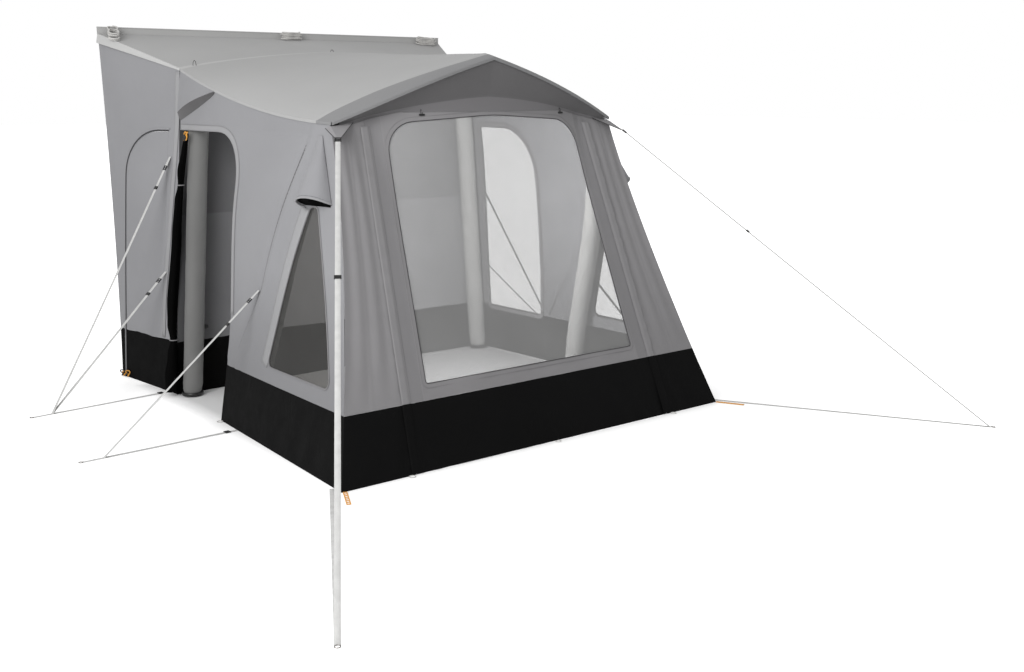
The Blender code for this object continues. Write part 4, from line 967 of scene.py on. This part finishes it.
def front_side(side, word):
    def flap(u, v):
        z = mix(0.006, FLAP_TOP_Z, v)
        rise = FABRIC + 0.0052 * smooth(u * 3) * smooth((1 - u) * 6 + 0.35)
        return on_front(side * (zip_x(z) + (u - 0.5) * FLAP_WIDTH), z, rise)

    sheet("front_zip_flap_cloth_" + word, [FRONT, MUD], flap, 12, 160, (0, -1, 0), "front_zip_flap_" + word,
          wrinkle=0.0015, pick=lambda u, v: 1 if v < 0.195 else 0,
          relief=lambda u, v: 0.0016 * math.sin(v * 90 + 2 * math.sin(v * 21)) * u * u)

    def corner(u, v):
        z_zip = mix(MUD_HEIGHT, arch_seam_z(0.75), v)
        x = mix(zip_x(z_zip), front_corner_x(z_zip), u)
        z = mix(MUD_HEIGHT, arch_seam_z(x) - HEM, v)
        x = mix(zip_x(z) + GAP, front_corner_x(z), u)
        return side * x, front_y(x, z), z

    def corner_relief(u, v):
        """Long soft folds that run down from the eave, and one seam."""
        folds = 0.0028 * math.sin(u * 19 + 1.2 * math.sin(v * 3.5)) * clamp(v * 6) * clamp((1 - v) * 6)
        return folds * smooth(u * 5) + 0.0012 * bell(u - 0.55, 0.03)

    sheet("corner_panel_cloth_" + word, FRONT, corner, 40, 110, (0, -1, 0), "front_corner_panel_" + word,
          wrinkle=0.0025, relief=corner_relief)
    heights = [mix(0.01, FLAP_TOP_Z - 0.004, k / 120) for k in range(121)]
    teeth = [on_front(side * zip_x(z), z, 0.0015) for z in heights]
    tube("front_zip_teeth_" + word, teeth, 0.0022, PLASTIC, resolution=1)


PEG_LOOP_RADIUS = 0.016
PEG_LOOP_CORD = 0.002


def peg_loop(name, x, y, away, body="shell"):
    reach = PEG_LOOP_RADIUS + PEG_LOOP_CORD - FABRIC * 0.8
    centre = Vector((x + away[0] * reach, y + away[1] * reach, PEG_LOOP_CORD))
    ring = circle(28, lambda c, s: centre + Vector((PEG_LOOP_RADIUS * c, PEG_LOOP_RADIUS * s, 0.0)))
    tube(name, ring, PEG_LOOP_CORD, CORD, body=body)


def side_mudwall(side, word):
    share = 0.4              # of its columns, those before the corner

    def surface(u, v):
        z = mix(0.0, MUD_HEIGHT - 2 * GAP, v)
        corner_y = front_corner_y(z)
        if u <= share:
            return side * mix(zip_x(z) + GAP, front_corner_x(z), u / share), corner_y, z
        return on_side(side, mix(corner_y, door_front_y(z), (u - share) / (1 - share)), z)

    def relief(u, v):
        fade = clamp(abs(u - share) / 0.05) * clamp(v * 6)
        return fade * 0.003 * math.sin(u * 47 + 3 * math.sin(u * 11) + v * 3) * math.exp(-v * 2.0)

    sheet("mudwall_cloth_" + word, MUD, surface, 150, 30, (side, -0.3, 0), "mudwall_" + word,
          wrinkle=0.003, stretch=0.8, relief=relief)
    peg_loop("front_peg_loop_cord_" + word, side * (zip_x(0) + 0.035), 0.0, (0, -1))
    y = door_front_y(0.0) - 0.022
    peg_loop("side_peg_loop_cord_" + word, side * wall_x(y, 0), y, (side, 0))


# Sides

STRIP_FOOT = 0.006           # strips and piping stop this far above the ground
WINDOW_TAPE = ((0.990, 0.414), (0.722, 1.262))
SEAM_TOP_Z = 1.63


def strip_path(points):
    return dense_path([(y, max(z, STRIP_FOOT)) for y, z in points])


def side_strip(name, side, path, width, look, lift=0.0012, body="shell", surface=None, thick=0.0012):
    """A flat strip along points in Y and Z on a side wall."""
    bm = bmesh.new()
    rows = []
    path = [Vector(point) for point in path]
    for k, point in enumerate(path):
        ahead = (path[min(k + 1, len(path) - 1)] - path[max(k - 1, 0)]).normalized()
        normal = Vector((-ahead.y, ahead.x))
        row = [point + normal * width * t for t in (-0.5, -0.25, 0.0, 0.25, 0.5)]
        rows.append([bm.verts.new(place(on_side(side, y, z, lift, surface))) for y, z in row])
    quads(bm, rows)
    turn_outward(bm, (side, 0, 0))
    thicken(new_object(name, to_mesh(name, bm, SMOOTH_ANGLE), look, body=body), thick, 1.0)


def beam_seam_y(z):
    """Rear edge of the front beam's sleeve on the side wall."""
    return 0.800 + 0.34 * (1.655 - z) + 0.34 * max(0.0, 0.80 - z)


def side_wall(side, word):
    def wall(u, v):
        z_front = mix(MUD_HEIGHT, EAVE_FRONT_Z, v)
        z = mix(MUD_HEIGHT, eave_z(mix(front_corner_y(z_front), MAIN_DEPTH, u)) - EAVE_DROP, v)
        y = mix(front_corner_y(z) + 0.004, MAIN_DEPTH, u)
        return on_side(side, y, mix(MUD_HEIGHT, eave_z(y) - EAVE_DROP, v))

    def relief(u, v):
        """A groove along the front beam's seam, its sleeve's swell, and slack cloth at its foot."""
        _, y, z = wall(u, v)
        seam = y - beam_seam_y(z)
        near = clamp((1.68 - z) * 6) * clamp((z - 0.30) * 5)
        slack = 0.004 * math.sin(seam * 70 + z * 4) * bell(seam + 0.02, 0.12) * clamp((0.85 - z) * 3)
        return (0.012 * bell(seam + 0.050, 0.034) - 0.016 * bell(seam, 0.017)) * near + slack

    window = side_window_outline()
    made = sheet("side_wall_cloth_" + word, WALL, wall, 130, 110, (side, 0, 0), "side_wall_" + word,
                 wrinkle=0.003, relief=relief)
    cut(made, "side_window_cut_" + word, window, side)
    cut(made, "door_cut_" + word, wall_door_cut(), side)

    def film(u, v):
        return on_side(side, mix(0.20, 1.12, u), mix(0.38, 1.31, v), -FABRIC * 1.15)

    made = sheet("side_film_" + word, SIDE_FILM[side], film, 50, 50, (side, 0, 0), "side_window_" + word,
                 thickness=FILM)
    cut(made, "side_film_keep_" + word, offset_outline(window, FILM_LAP), side, "INTERSECT")
    ring = offset_outline(window, 0.004)
    side_strip("side_window_edge_" + word, side, strip_path(ring + ring[:1]), 0.007, BAND_SHADE_AND_TRIM, 0.0014)
    tape = [tuple(mix(a, b, k / 40) for a, b in zip(*WINDOW_TAPE)) for k in range(41)]
    side_strip("side_window_tape_" + word, side, tape, 0.066, TAPE, 0.0022)
    seam = [(beam_seam_y(z), z) for z in (SEAM_TOP_Z - 0.03 * k for k in range(44))]
    # A dark strip sunk into the groove along the beam's seam, as painted shade
    side_strip("beam_seam_" + word, side, seam, 0.005, VISOR_SHADE, -0.0100, thick=0.0014)


def left_door_edge():
    for name, reach, width, look, lift in (("border", 0.019, 0.036, TAPE, 0.0012),
                                           ("stitch", 0.034, 0.003, BAND_SHADE_AND_TRIM, 0.0028)):
        edge = [(y, z) for y, z in offset_outline(door_outline(0.34), reach) if y < DOOR_REAR_Y and z > 0.5]
        side_strip("left_door_" + name, LEFT, strip_path(edge), width, look, lift)


COWL_TOP = (0.700, 1.620)
COWL_MOUTH = (0.630, 1.278)
COWL_TOP_HALF = 0.020
COWL_MOUTH_HALF = 0.102
COWL_MOUTH_ARCH = 0.045
COWL_MOUTH_TILT = 0.012
COWL_STAND_OFF = 0.102


def vent_cowl(side, word):
    """A long half cone of cloth from the eave down to an open mouth over the side window."""
    def cowl(u, v):
        swell, turn = math.sin(math.pi * clamp(u)), math.cos(math.pi * u)
        y = mix(COWL_TOP[0], COWL_MOUTH[0], v) - mix(COWL_TOP_HALF, COWL_MOUTH_HALF, v) * turn
        z = mix(COWL_TOP[1], COWL_MOUTH[1] + COWL_MOUTH_ARCH * swell + COWL_MOUTH_TILT * turn, v)
        return on_side(side, y, z, 0.0032 + COWL_STAND_OFF * v * swell ** 0.8)

    sheet("vent_cowl_cloth_" + word, WALL, cowl, 56, 40, (side, 0, 0), "vent_cowl_" + word,
          wrinkle=0.0012, edge=0, relief=lambda u, v: 0.0014 * bell(v - 0.94, 0.012))
    tube("vent_rim_" + word, [Vector(cowl(k / 40, 1.0)) for k in range(41)], 0.0046, TAPE)

    def mouth(u, v):
        """A dark sheet across the opening: painted shade of the cowl's hollow mouth."""
        x, y, z = cowl(u, 0.97)
        back = side * (wall_x(y, COWL_MOUTH[1]) + 0.0024)
        return mix(back, x, v), y, mix(COWL_MOUTH[1] - 0.004, z, v)

    sheet("vent_mouth_shade_" + word, ROLL_SHADE, mouth, 24, 6, (0, 0, -1), wrinkle=0.0004, edge=0)


def right_door():
    side, body = RIGHT, BODY["right_door"]
    low, high = MUD_HEIGHT, DOOR_TOP_Z - 0.4 * DOOR_BORDER
    front, rear = DOOR_FRONT_Y + DOOR_BORDER, DOOR_REAR_Y - DOOR_REAR_BORDER
    corners = [(door_front_y(low) + DOOR_BORDER, low), (rear - 0.035, low), (rear - 0.065, high),
               (front, high), (front, DOOR_KNEE_Z)]
    border = rounded(corners, [0.02, 0.02, 0.02, DOOR_CORNER - DOOR_BORDER, 0], 12)

    def panel(setback):
        return lambda u, v: on_side(side, mix(DOOR_FRONT_Y - 0.02, DOOR_REAR_Y + 0.02, u),
                                    mix(-0.01, DOOR_TOP_Z + 0.02, v), -setback)

    door = sheet("right_door_cloth", DOOR, panel(0.0), 60, 120, (side, 0, 0), "right_door")
    cut(door, "right_door_keep", offset_outline(door_outline(GAP * 3), -EDGE_GAP), side, "INTERSECT")
    cut(door, "right_door_window_cut", border, side)
    film = sheet("right_door_film", SIDE_CLEAR, panel(FABRIC * 1.1), 40, 80, (side, 0, 0),
                 "right_door_window", thickness=FILM)
    cut(film, "right_door_film_keep", offset_outline(border, FILM_LAP), side, "INTERSECT")
    edge = offset_outline(door_outline(0.01), 0.0068)
    toe, *edge = [point for point in edge if point[0] < DOOR_REAR_Y - 0.02]
    side_strip("right_door_zip", side, strip_path(edge + [toe]), 0.010, DARK)
    inner = offset_outline(border, 0.016)
    side_strip("right_door_inner_border", side, strip_path(inner + inner[:1]), 0.026, BAND_SHADE_AND_TRIM, -0.0075, body)
    side_strip("right_door_binding", side, strip_path(border + border[:1]), 0.012, BAND_SHADE_AND_TRIM, 0.0014, body)


# Height, radius and place along the wall of each station of the rolled door
ROLL_PROFILE = ((1.590, 0.012, 2.085), (1.500, 0.017, 2.098), (1.380, 0.023, 2.122), (1.290, 0.018, 2.140),
                (1.200, 0.025, 2.152), (0.900, 0.030, 2.182), (0.600, 0.034, 2.205), (0.440, 0.030, 2.212),
                (0.345, 0.022, 2.208), (0.260, 0.032, 2.200), (0.120, 0.042, 2.190), (0.030, 0.040, 2.186))
ROLL_CLEAR = 0.0022          # between the roll and the wall
ROLL_TIES = (ROLL_PROFILE[3], ROLL_PROFILE[8])


def roll_station(z):
    """Radius and place along the wall of the rolled door at a height."""
    for (z1, r1, y1), (z0, r0, y0) in zip(ROLL_PROFILE, ROLL_PROFILE[1:]):
        if z >= z0:
            t = (z - z0) / (z1 - z0)
            return mix(r0, r1, smooth(t)), mix(y0, y1, t)
    return ROLL_PROFILE[-1][1:]


def roll_centre(z, radius, y):
    reach = mix(wall_x(y, z), tunnel_x(y, z), smooth((y + radius - MAIN_DEPTH + 0.01) / 0.02))
    return Vector((LEFT * (reach + radius + ROLL_CLEAR), y, z))


def rolled_door():
    """The left door's cloth wound up: a spiral section whose outer layer shows its edge."""
    def surface(u, v):
        z = mix(ROLL_PROFILE[-1][0], ROLL_PROFILE[0][0], v)
        radius, y = roll_station(z)
        a = 2 * math.pi * u
        fold = 1.0 - 0.10 * u + 0.05 * math.sin(3 * a + z * 3.1) + 0.03 * math.sin(5 * a - z * 5.3)
        return roll_centre(z, radius, y) + Vector((math.cos(a + 2.2), math.sin(a + 2.2), 0)) * radius * fold

    made = sheet("rolled_door_cloth", ROLL_SHADE, surface, 64, 160, (0, 0, 0), "rolled_door_left",
                 stretch=3.0, held="folded", edge=0)
    mesh = made.data
    centre = place(roll_centre(0.8, *roll_station(0.8)))
    if sum((poly.center - centre).to_2d().dot(poly.normal.to_2d()) for poly in mesh.polygons) < 0:
        mesh.flip_normals()
    for index, (z, radius, y) in enumerate(ROLL_TIES):
        middle = roll_centre(z, radius, y)
        tie = circle(24, lambda c, s: middle + Vector((c, s, 0)) * (radius * 1.08))
        tube("door_tie_%d" % index, tie, 0.0034, BAND_SHADE_AND_TRIM)
    top = roll_centre(1.575, 0.012, 2.087)
    cord = ((-0.006, -0.030, 0.028), (-0.010, -0.012, 0.006),
            (-0.013, 0.004, -0.016), (-0.012, 0.016, -0.034))
    bar = ((-0.012, 0.012, 0.026), (-0.015, 0.002, 0.004), (-0.014, -0.012, -0.024))
    loop = circle(20, lambda c, s: (-0.013, -0.016 + 0.018 * c, 0.006 + 0.024 * s))
    knot = circle(16, lambda c, s: (-0.016, 0.012 * c - 0.004, 0.012 * s - 0.004))
    for name, path, radius, look in (
            ("cord", catmull(cord), 0.0048, ORANGE), ("loop", loop, 0.0034, ORANGE),
            ("knot", knot, 0.0056, PLASTIC), ("bar", catmull(bar), 0.0060, PLASTIC)):
        tube("door_toggle_" + name, [top + point for point in path], radius, look)


def rear_wall():
    y = 2.130 + (BEAM_INSET - FABRIC - 3 * GAP) + 2 * GAP

    def surface(u, v):
        z = REAR_EAVE_Z * v
        for _ in range(3):
            low = min(z, REAR_EAVE_Z)
            x = (2 * u - 1) * (max(wall_x(y, low), tunnel_x(y, low)) + 0.006)
            z = v * (roof_z(x, y) - FABRIC * 1.15)
        return x, y, z

    sheet("rear_wall_cloth", INNER, surface, 120, 90, (0, -1, 0), "rear_wall", wrinkle=0.004, stretch=3.0,
          relief=lambda u, v: 0.006 * math.sin(u * 23 + 2 * math.sin(v * 3)) * (0.3 + 0.7 * (1 - v)),
          held="hung")


# The cloth strip down the tunnel's front seam, in Y and Z
TUNNEL_SLEEVE = ((2.222, 1.950), (2.224, 1.641), (2.242, 1.434),
                 (2.296, 0.949), (2.346, 0.573), (2.362, 0.338))


def tunnel(side, word):
    def wall(u, v):
        y = mix(MAIN_DEPTH, van_y(VAN_Z * v) - SEAM_GAP, u)
        z = v * (tunnel_eave_z(y) - EAVE_DROP)
        return on_side(side, mix(MAIN_DEPTH, van_y(z) - SEAM_GAP, u), z, 0.0, tunnel_x)

    def door(u, v):
        return on_side(side, mix(2.25, 2.90, u), mix(-0.01, TUNNEL_DOOR_TOP_Z + 0.02, v), 0.0, tunnel_x)

    made = sheet("tunnel_wall_cloth_" + word, DOOR, wall, 60, 120, (side, 0, 0), "tunnel_wall_" + word,
                 wrinkle=0.003)
    cut(made, "tunnel_door_cut_" + word, tunnel_door_outline(), side)
    made = sheet("tunnel_door_cloth_" + word, DOOR, door, 50, 110, (side, 0, 0), "tunnel_door_" + word,
                 wrinkle=0.003)
    keep = offset_outline(tunnel_door_outline(GAP * 3), -EDGE_GAP)
    cut(made, "tunnel_door_keep_" + word, keep, side, "INTERSECT")

    def edge(reach):
        return offset_outline(tunnel_door_outline(0.012), reach)[1:]

    for name, path, width, look, lift in (("zip_", edge(0.0058), 0.008, DARK, 0.0014),
                                          ("zip_tape_", edge(0.0155), 0.010, WALL, 0.0008),
                                          ("sleeve_", TUNNEL_SLEEVE, 0.034, TAPE, 0.0022)):
        side_strip("tunnel_" + name + word, side, strip_path(path), width, look, lift, surface=tunnel_x)


GUSSET_START_Y = 1.780
GUSSET_OUT = 0.050


def wing_gusset(side, word):
    def wing(u, v):
        y = mix(GUSSET_START_Y, MAIN_DEPTH - 0.004, u)
        top = eave_z(y) - HEM - 2 * GAP
        z = mix(top, mix(eave_z(GUSSET_START_Y) - HEM - 0.006, 1.715, u), v)
        out = FABRIC + 2 * GAP + GUSSET_OUT * v * math.sin(math.pi * clamp(0.15 + 0.75 * u))
        return on_side(side, y, z, out)

    def under(u, v):
        """The gusset's underside, from its free edge back to the wall, darkened as painted shade."""
        x, y, z = wing(u, 1.0)
        low = z - 0.050 * u ** 0.5 * v
        return mix(x, side * (wall_x(y, low) + 0.0012), v), y, low

    sheet("wing_gusset_cloth_" + word, WALL, wing, 50, 24, (side, 0, 0), "wing_gusset_" + word,
          wrinkle=0.001, edge=0)
    sheet("wing_gusset_underside_shade_" + word, VISOR_SHADE, under, 40, 8, (side, 0, -1), wrinkle=0.0006, edge=0)


# Air beams

BEAM_FOOT_Z = 0.012
BEAM_ROUND = (0.80, 0.93)    # the first radii at a sleeve's end, over the beam's
BOOT_RADIUS = 0.066
BOOT_SHAPE = (0.97, 1.0, 1.0, 0.96)
BOOT_STEP = 0.006


def leg_points(foot_y, top_y, top_z):
    low = BEAM_FOOT_Z + 0.03
    places = [(foot_y, BEAM_FOOT_Z)]
    places += [(mix(foot_y, top_y, step / 6), mix(low, top_z, step / 6)) for step in range(1, 7)]
    return [Vector((wall_x(y, z if k else 0.0) - BEAM_INSET, y, z)) for k, (y, z) in enumerate(places)]


def under_roof(x, y):
    step = 0.01
    slope_x = (roof_z(x + step, y) - roof_z(x - step, y)) / (2 * step)
    slope_y = (roof_z(x, y + step) - roof_z(x, y - step)) / (2 * step)
    return Vector((x, y, roof_z(x, y))) - Vector((-slope_x, -slope_y, 1.0)).normalized() * BEAM_INSET


def half_beam(leg, arch_points):
    top, first = leg[-1], arch_points[0]
    slope = (arch_points[1].z - first.z) / (arch_points[1].x - first.x)
    corner_y = (top.y + first.y) / 2
    corner_x = min(top.x, wall_x(corner_y, SWELL_TOP_Z) - BEAM_INSET)
    corner = Vector((corner_x, corner_y, first.z + slope * (corner_x - first.x)))
    bend = [top.lerp(corner, t).lerp(corner.lerp(first, t), t) for t in (0.17, 0.34, 0.5, 0.66, 0.83)]
    return leg + bend + arch_points


def air_beams():
    across = [1 - step / 7 for step in range(8)]
    front_arch = [under_roof(0.740 * t, 0.650 + 0.080 * t ** 2) for t in across]
    rear_arch = [under_roof(0.800 * t, 2.110) for t in across]
    right, left = (half_beam(leg_points(1.150 + setback, 0.680 + setback, 1.440), front_arch)
                   for setback in (0.0, LEFT_LEG_SETBACK))
    rear = half_beam(leg_points(2.130, 2.110, 1.640), rear_arch)
    for word, right, left in (("front", right, left), ("rear", rear, rear)):
        path = right + [Vector((-point.x, point.y, point.z)) for point in reversed(left[:-1])]
        dense = catmull(path, 7)
        radii = [1.0 - 0.035 * smooth(noise.noise(point * 9) + 0.5) for point in dense]
        radii[:2], radii[-2:] = BEAM_ROUND, BEAM_ROUND[::-1]
        for end, near in ((0, 1), (-1, -2)):
            dense[near].xy = dense[end].xy
        tube(word + "_beam_sleeve", dense, BEAM_RADIUS, BEAM, word + "_air_beam", resolution=8, radii=radii)
        for index, foot in enumerate((path[0], path[-1])):
            ring = [Vector((foot.x, foot.y, BOOT_STEP * (k + 1))) for k in range(len(BOOT_SHAPE))]
            tube("%s_boot_%d" % (word, index), ring, BOOT_RADIUS, PLASTIC, resolution=8, radii=BOOT_SHAPE)


# Straps

STRAP_WIDTH = 0.025
STRAP_THICK = 0.0016
BUCKLE_WIDTH = STRAP_WIDTH + 0.008
BUCKLE_LENGTH = 0.030
BUCKLE_THICK = 0.006
BUCKLE_EDGE = 0.0012
RING_RADIUS = 0.011
RING_WIRE = 0.0022
RING_REACH = RING_RADIUS + RING_WIRE + GAP
JOIN_BACK = 0.100
TAB_LENGTH = 0.060
PEGS = {"front": (2.100, -1.332), "mid": (2.100, 1.214), "rear": (2.040, 2.220)}
# Tops of the slanted straps: the eave's corner in front, and a wall with Y and Z for the others
SLANTED = {"front": ((0.965, 0.510, 1.615),), "mid": ((wall_x, 1.104, 0.795),),
           "rear": ((tunnel_x, 2.285, 1.451), (tunnel_x, 2.330, 0.753))}
WEB_SECTION = ((-0.5, 0.3), (-0.47, 1), (0, 1), (0.47, 1), (0.5, 0.3),
               (0.5, -0.3), (0.47, -1), (0, -1), (-0.47, -1), (-0.5, -0.3))


def ground_line(which):
    """Start and end of a strap's stretch along the ground, on the right."""
    start = {"front": (BASE_HALF + 0.008, 0.075), "mid": (wall_x(1.252, 0) + 0.0018, 1.252),
             "rear": (tunnel_x(2.300, 0) + 0.0015, 2.300)}[which]
    start, peg = (Vector((*point, STRAP_THICK / 2)) for point in (start, PEGS[which]))
    return start, peg + (start - peg).normalized() * RING_REACH


def strap_axes(start, end):
    along = (end - start).normalized()
    across = along.cross(Vector((0, 0, 1))).normalized()
    return across, along, across.cross(along).normalized()


def web(name, start, end, node=None, sag=0.0):
    """Flat webbing with a rounded edge, in short stretches so that it can sag and ripple."""
    across, _, normal = strap_axes(start, end)
    length = (end - start).length
    count = max(4, int(length / 0.02))
    bm = bmesh.new()
    rows = []
    for t in (k / count for k in range(count + 1)):
        uneven = 0.0006 * min(1, 6 * min(t, 1 - t)) * noise.noise(Vector((t * length * 14, 3, len(name))))
        middle = start.lerp(end, t) + normal * (uneven - sag * 4 * t * (1 - t))
        rows.append([bm.verts.new(place(middle + across * STRAP_WIDTH * s + normal * STRAP_THICK / 2 * h))
                     for s, h in WEB_SECTION])
    quads(bm, rows, closed=True)
    bm.faces.new(rows[0])
    bm.faces.new(list(reversed(rows[-1])))
    bmesh.ops.recalc_face_normals(bm, faces=bm.faces)
    new_object(name, to_mesh(name, bm, 40), WEBBING, node)


def buckle(name, start, end):
    """A ladder-lock buckle: a rounded frame with a bar across its middle."""
    axes = across, along, _ = strap_axes(start, end)
    length, middle = (end - start).length, (start + end) / 2
    for index, t in enumerate((-0.42, 0.0, 0.42)):
        box("%s_bar_%d" % (name, index), (BUCKLE_WIDTH, length * 0.16, BUCKLE_THICK),
            middle + along * length * t, axes, PLASTIC, BUCKLE_EDGE)
    for index, s in enumerate((-0.45, 0.45)):
        box("%s_rail_%d" % (name, index), (BUCKLE_WIDTH * 0.12, length, BUCKLE_THICK * 0.9),
            middle + across * BUCKLE_WIDTH * s, axes, PLASTIC, BUCKLE_EDGE)


def corner_gusset(side, tip, end):
    """The cloth that gathers the eave's corner into the front strap."""
    across = strap_axes(tip, end)[0]
    if across.y > 0:
        across = -across
    lift, turn = 0.004, 0.4

    def surface(u, v):
        if u < turn:
            high = Vector(on_side(side, mix(0.655, 0.615, u / turn), mix(1.656, 1.668, u / turn), lift))
        else:
            t = (u - turn) / (1 - turn)
            x, z = side * mix(front_corner_x(1.668) + lift, 0.815, t), mix(1.668, 1.684, t)
            high = Vector((x, front_y(x, z) - lift * 1.2, z))
        return high.lerp(tip + across * (u - 0.5) * STRAP_WIDTH * 0.9, v)

    return surface


def strap(which, side, word):
    def flip(point):
        return Vector((side * point.x, point.y, point.z))

    start, end = ground_line(which)
    name, front = "%s_strap_%s" % (which, word), which == "front"
    web(name + "_ground", flip(start), flip(end), "%s_storm_strap_%s" % (which, word))
    if not front:
        along = (end - start).normalized()
        low = start + along * 0.045 + Vector((0, 0, 0.0022))
        buckle(name + "_ground_buckle", flip(low), flip(low + along * BUCKLE_LENGTH))
    meeting = end + (start - end).normalized() * ((0.0 if front else JOIN_BACK) + 0.006)
    foot = flip(Vector((meeting.x, meeting.y, STRAP_THICK)))
    for index, top in enumerate(SLANTED[which]):
        if front:
            top = flip(Vector(top))
        else:
            surface, y, z = top
            anchor = Vector(on_side(side, y, z, 0.0, surface))
            top = anchor + (foot - anchor).normalized() * TAB_LENGTH
            web("%s_tab_%d" % (name, index), anchor, top + (foot - top).normalized() * 0.006)
        line = (foot - top).normalized()
        buckle("%s_buckle_%d" % (name, index), top, top + line * BUCKLE_LENGTH)
        web("%s_web_%d" % (name, index), top + line * BUCKLE_LENGTH * 0.8, foot, sag=0.002)
        if front:
            gusset = corner_gusset(side, top + line * BUCKLE_LENGTH * 0.3, foot)
            sheet(name + "_gusset", FRONT, gusset, 20, 14, (side, -1, 0), wrinkle=0.0004, edge=0)
            for edge, u in (("rear", 0.0), ("front", 1.0)):
                tube("%s_gusset_%s_edge" % (name, edge), [gusset(u, v / 8) for v in range(9)], 0.0018, DARK,
                     resolution=2)


# Place in Y and Z, radius and look of the small loops at the foot of each tunnel door
CORNER_LOOPS = ((2.834, 0.026, 0.017, PLASTIC), (2.806, 0.030, 0.020, ORANGE),
                (2.858, 0.022, 0.015, ORANGE), (2.884, 0.024, 0.018, PLASTIC))


def corner_loops(side, word):
    for index, (y, z, radius, look) in enumerate(CORNER_LOOPS):
        out = tunnel_x(y, z) + 0.012
        loop = circle(20, lambda c, s: (side * (out + 0.016 * s * c), y + radius * c, z + radius * s))
        tube("corner_loop_%s_%d" % (word, index), loop, 0.0032, look, resolution=2)


def rings(side, word):
    for which, (x, y) in PEGS.items():
        ring = circle(32, lambda c, s: (side * x + RING_RADIUS * c, y + RING_RADIUS * s, RING_WIRE))
        tube("%s_ring_%s" % (which, word), ring, RING_WIRE, STEEL, "%s_peg_ring_%s" % (which, word))


for build in (van_cords, main_roof, tunnel_roof, visor, hem_toggles, roof_loops, front_parts,
              left_door_edge, right_door, rolled_door, rear_wall, air_beams):
    build()
for side, word in SIDES:
    for build in (roof_hem, tunnel_hem, front_side, side_mudwall, side_wall, vent_cowl, tunnel,
                  wing_gusset, corner_loops, rings):
        build(side, word)
    for which in SLANTED:
        strap(which, side, word)

bpy.context.view_layer.update()
for made in sheets:
    bake(made)
for cutter in cutters:
    bpy.data.objects.remove(cutter, do_unlink=True)

CUT_SHARE = 0.32             # a sheet with less of its rectangle left is given by its area
bpy.context.view_layer.update()
for made in sheets:
    width, length = made["flat"]
    area = sum(polygon.area for polygon in made.data.polygons) / 2
    if area < CUT_SHARE * width * length:
        length = area / (0.9 * width)
    if area > width * length:
        length = area / width

LOOKS = {"van_beading": PALE, "front_peg_ladder_left": ORANGE, "front_peg_ladder_right": ORANGE}
for name, made in frame["nodes"].items():
    if made.type == "MESH":
        made.data.materials.clear()
        made.data.materials.append(LOOKS.get(name, PLASTIC))


# Ground, backdrop and light

WHITE = (1.0, 1.0, 1.0, 1.0)
FOOTPRINT = (1.25, 1.28)     # half width and half depth of the ground that stays plain
FOOTPRINT_Y = 0.50
GROUND_HALF = 60.0
GROUND_Z = -0.0015
WORLD_LIGHT = 0.56


def ground():
    """Plain under and inside the awning; away from it, it fades into the white backdrop."""
    n = Nodes("studio_ground")
    plain = n.add("BsdfPrincipled", Roughness=0.7, Specular_IOR_Level=0.2,
                  Base_Color=n.tint((0.80, 0.80, 0.80), n.spread(n.noise(6.0), 0.992, 1.008)))
    x, y, _ = n.add("SeparateXYZ", n.coords).outputs
    places = (x, n.math("SUBTRACT", y, FOOTPRINT_Y))
    outside = n.math("MAXIMUM", *(n.math("SUBTRACT", n.math("ABSOLUTE", place_in), half)
                                  for place_in, half in zip(places, FOOTPRINT)))
    strength = n.math("ADD", n.ramp(outside, 0.0, 0.48, -0.10, 0.05), n.ramp(outside, 0.0, 0.52, 0.0, 1.3))
    seen = n.add("LightPath").outputs["Is Camera Ray"]
    white = n.add("Emission", Color=WHITE, Strength=n.math("MULTIPLY", strength, seen))
    bm = bmesh.new()
    bmesh.ops.create_grid(bm, x_segments=2, y_segments=2, size=GROUND_HALF)
    made = bpy.data.objects.new("ground", to_mesh("ground", bm))
    made.location = (0, 0, GROUND_Z)
    made.data.materials.append(n.finish(n.add("AddShader", plain, white)))
    scene.collection.objects.link(made)


def lamp(name, location, target, size, power):
    data = bpy.data.lights.new(name, "AREA")
    data.shape = "RECTANGLE"
    data.size, data.size_y = size
    data.energy = power
    made = bpy.data.objects.new(name, data)
    made.visible_camera = False
    aim(made, location, Vector(target) - Vector(location))


def world():
    sky = bpy.data.worlds.new("studio")
    scene.world = sky
    sky.use_nodes = True
    nodes, link = sky.node_tree.nodes, sky.node_tree.links.new
    nodes.clear()
    path, either, mixed, output = (nodes.new("ShaderNode" + kind)
                                   for kind in ("LightPath", "Math", "MixShader", "OutputWorld"))
    either.operation = "MAXIMUM"
    for index, ray in enumerate(("Is Camera Ray", "Is Transmission Ray")):
        link(path.outputs[ray], either.inputs[index])
    link(either.outputs[0], mixed.inputs[0])
    for index, strength in ((1, WORLD_LIGHT), (2, 1.0)):
        light = nodes.new("ShaderNodeBackground")
        light.inputs["Color"].default_value = WHITE
        light.inputs["Strength"].default_value = strength
        link(light.outputs[0], mixed.inputs[index])
    link(mixed.outputs[0], output.inputs["Surface"])


make_camera()
ground()
world()
lamp("key", (-6.0, -2.6, 3.9), (0, 0.3, 0.8), (3.6, 3.6), 300)
lamp("inside", (-0.25, 0.05, 1.25), (1.3, 0.5, 1.0), (0.4, 0.7), 34)
scene.view_settings.view_transform = "Standard"
scene.view_settings.look = "None"
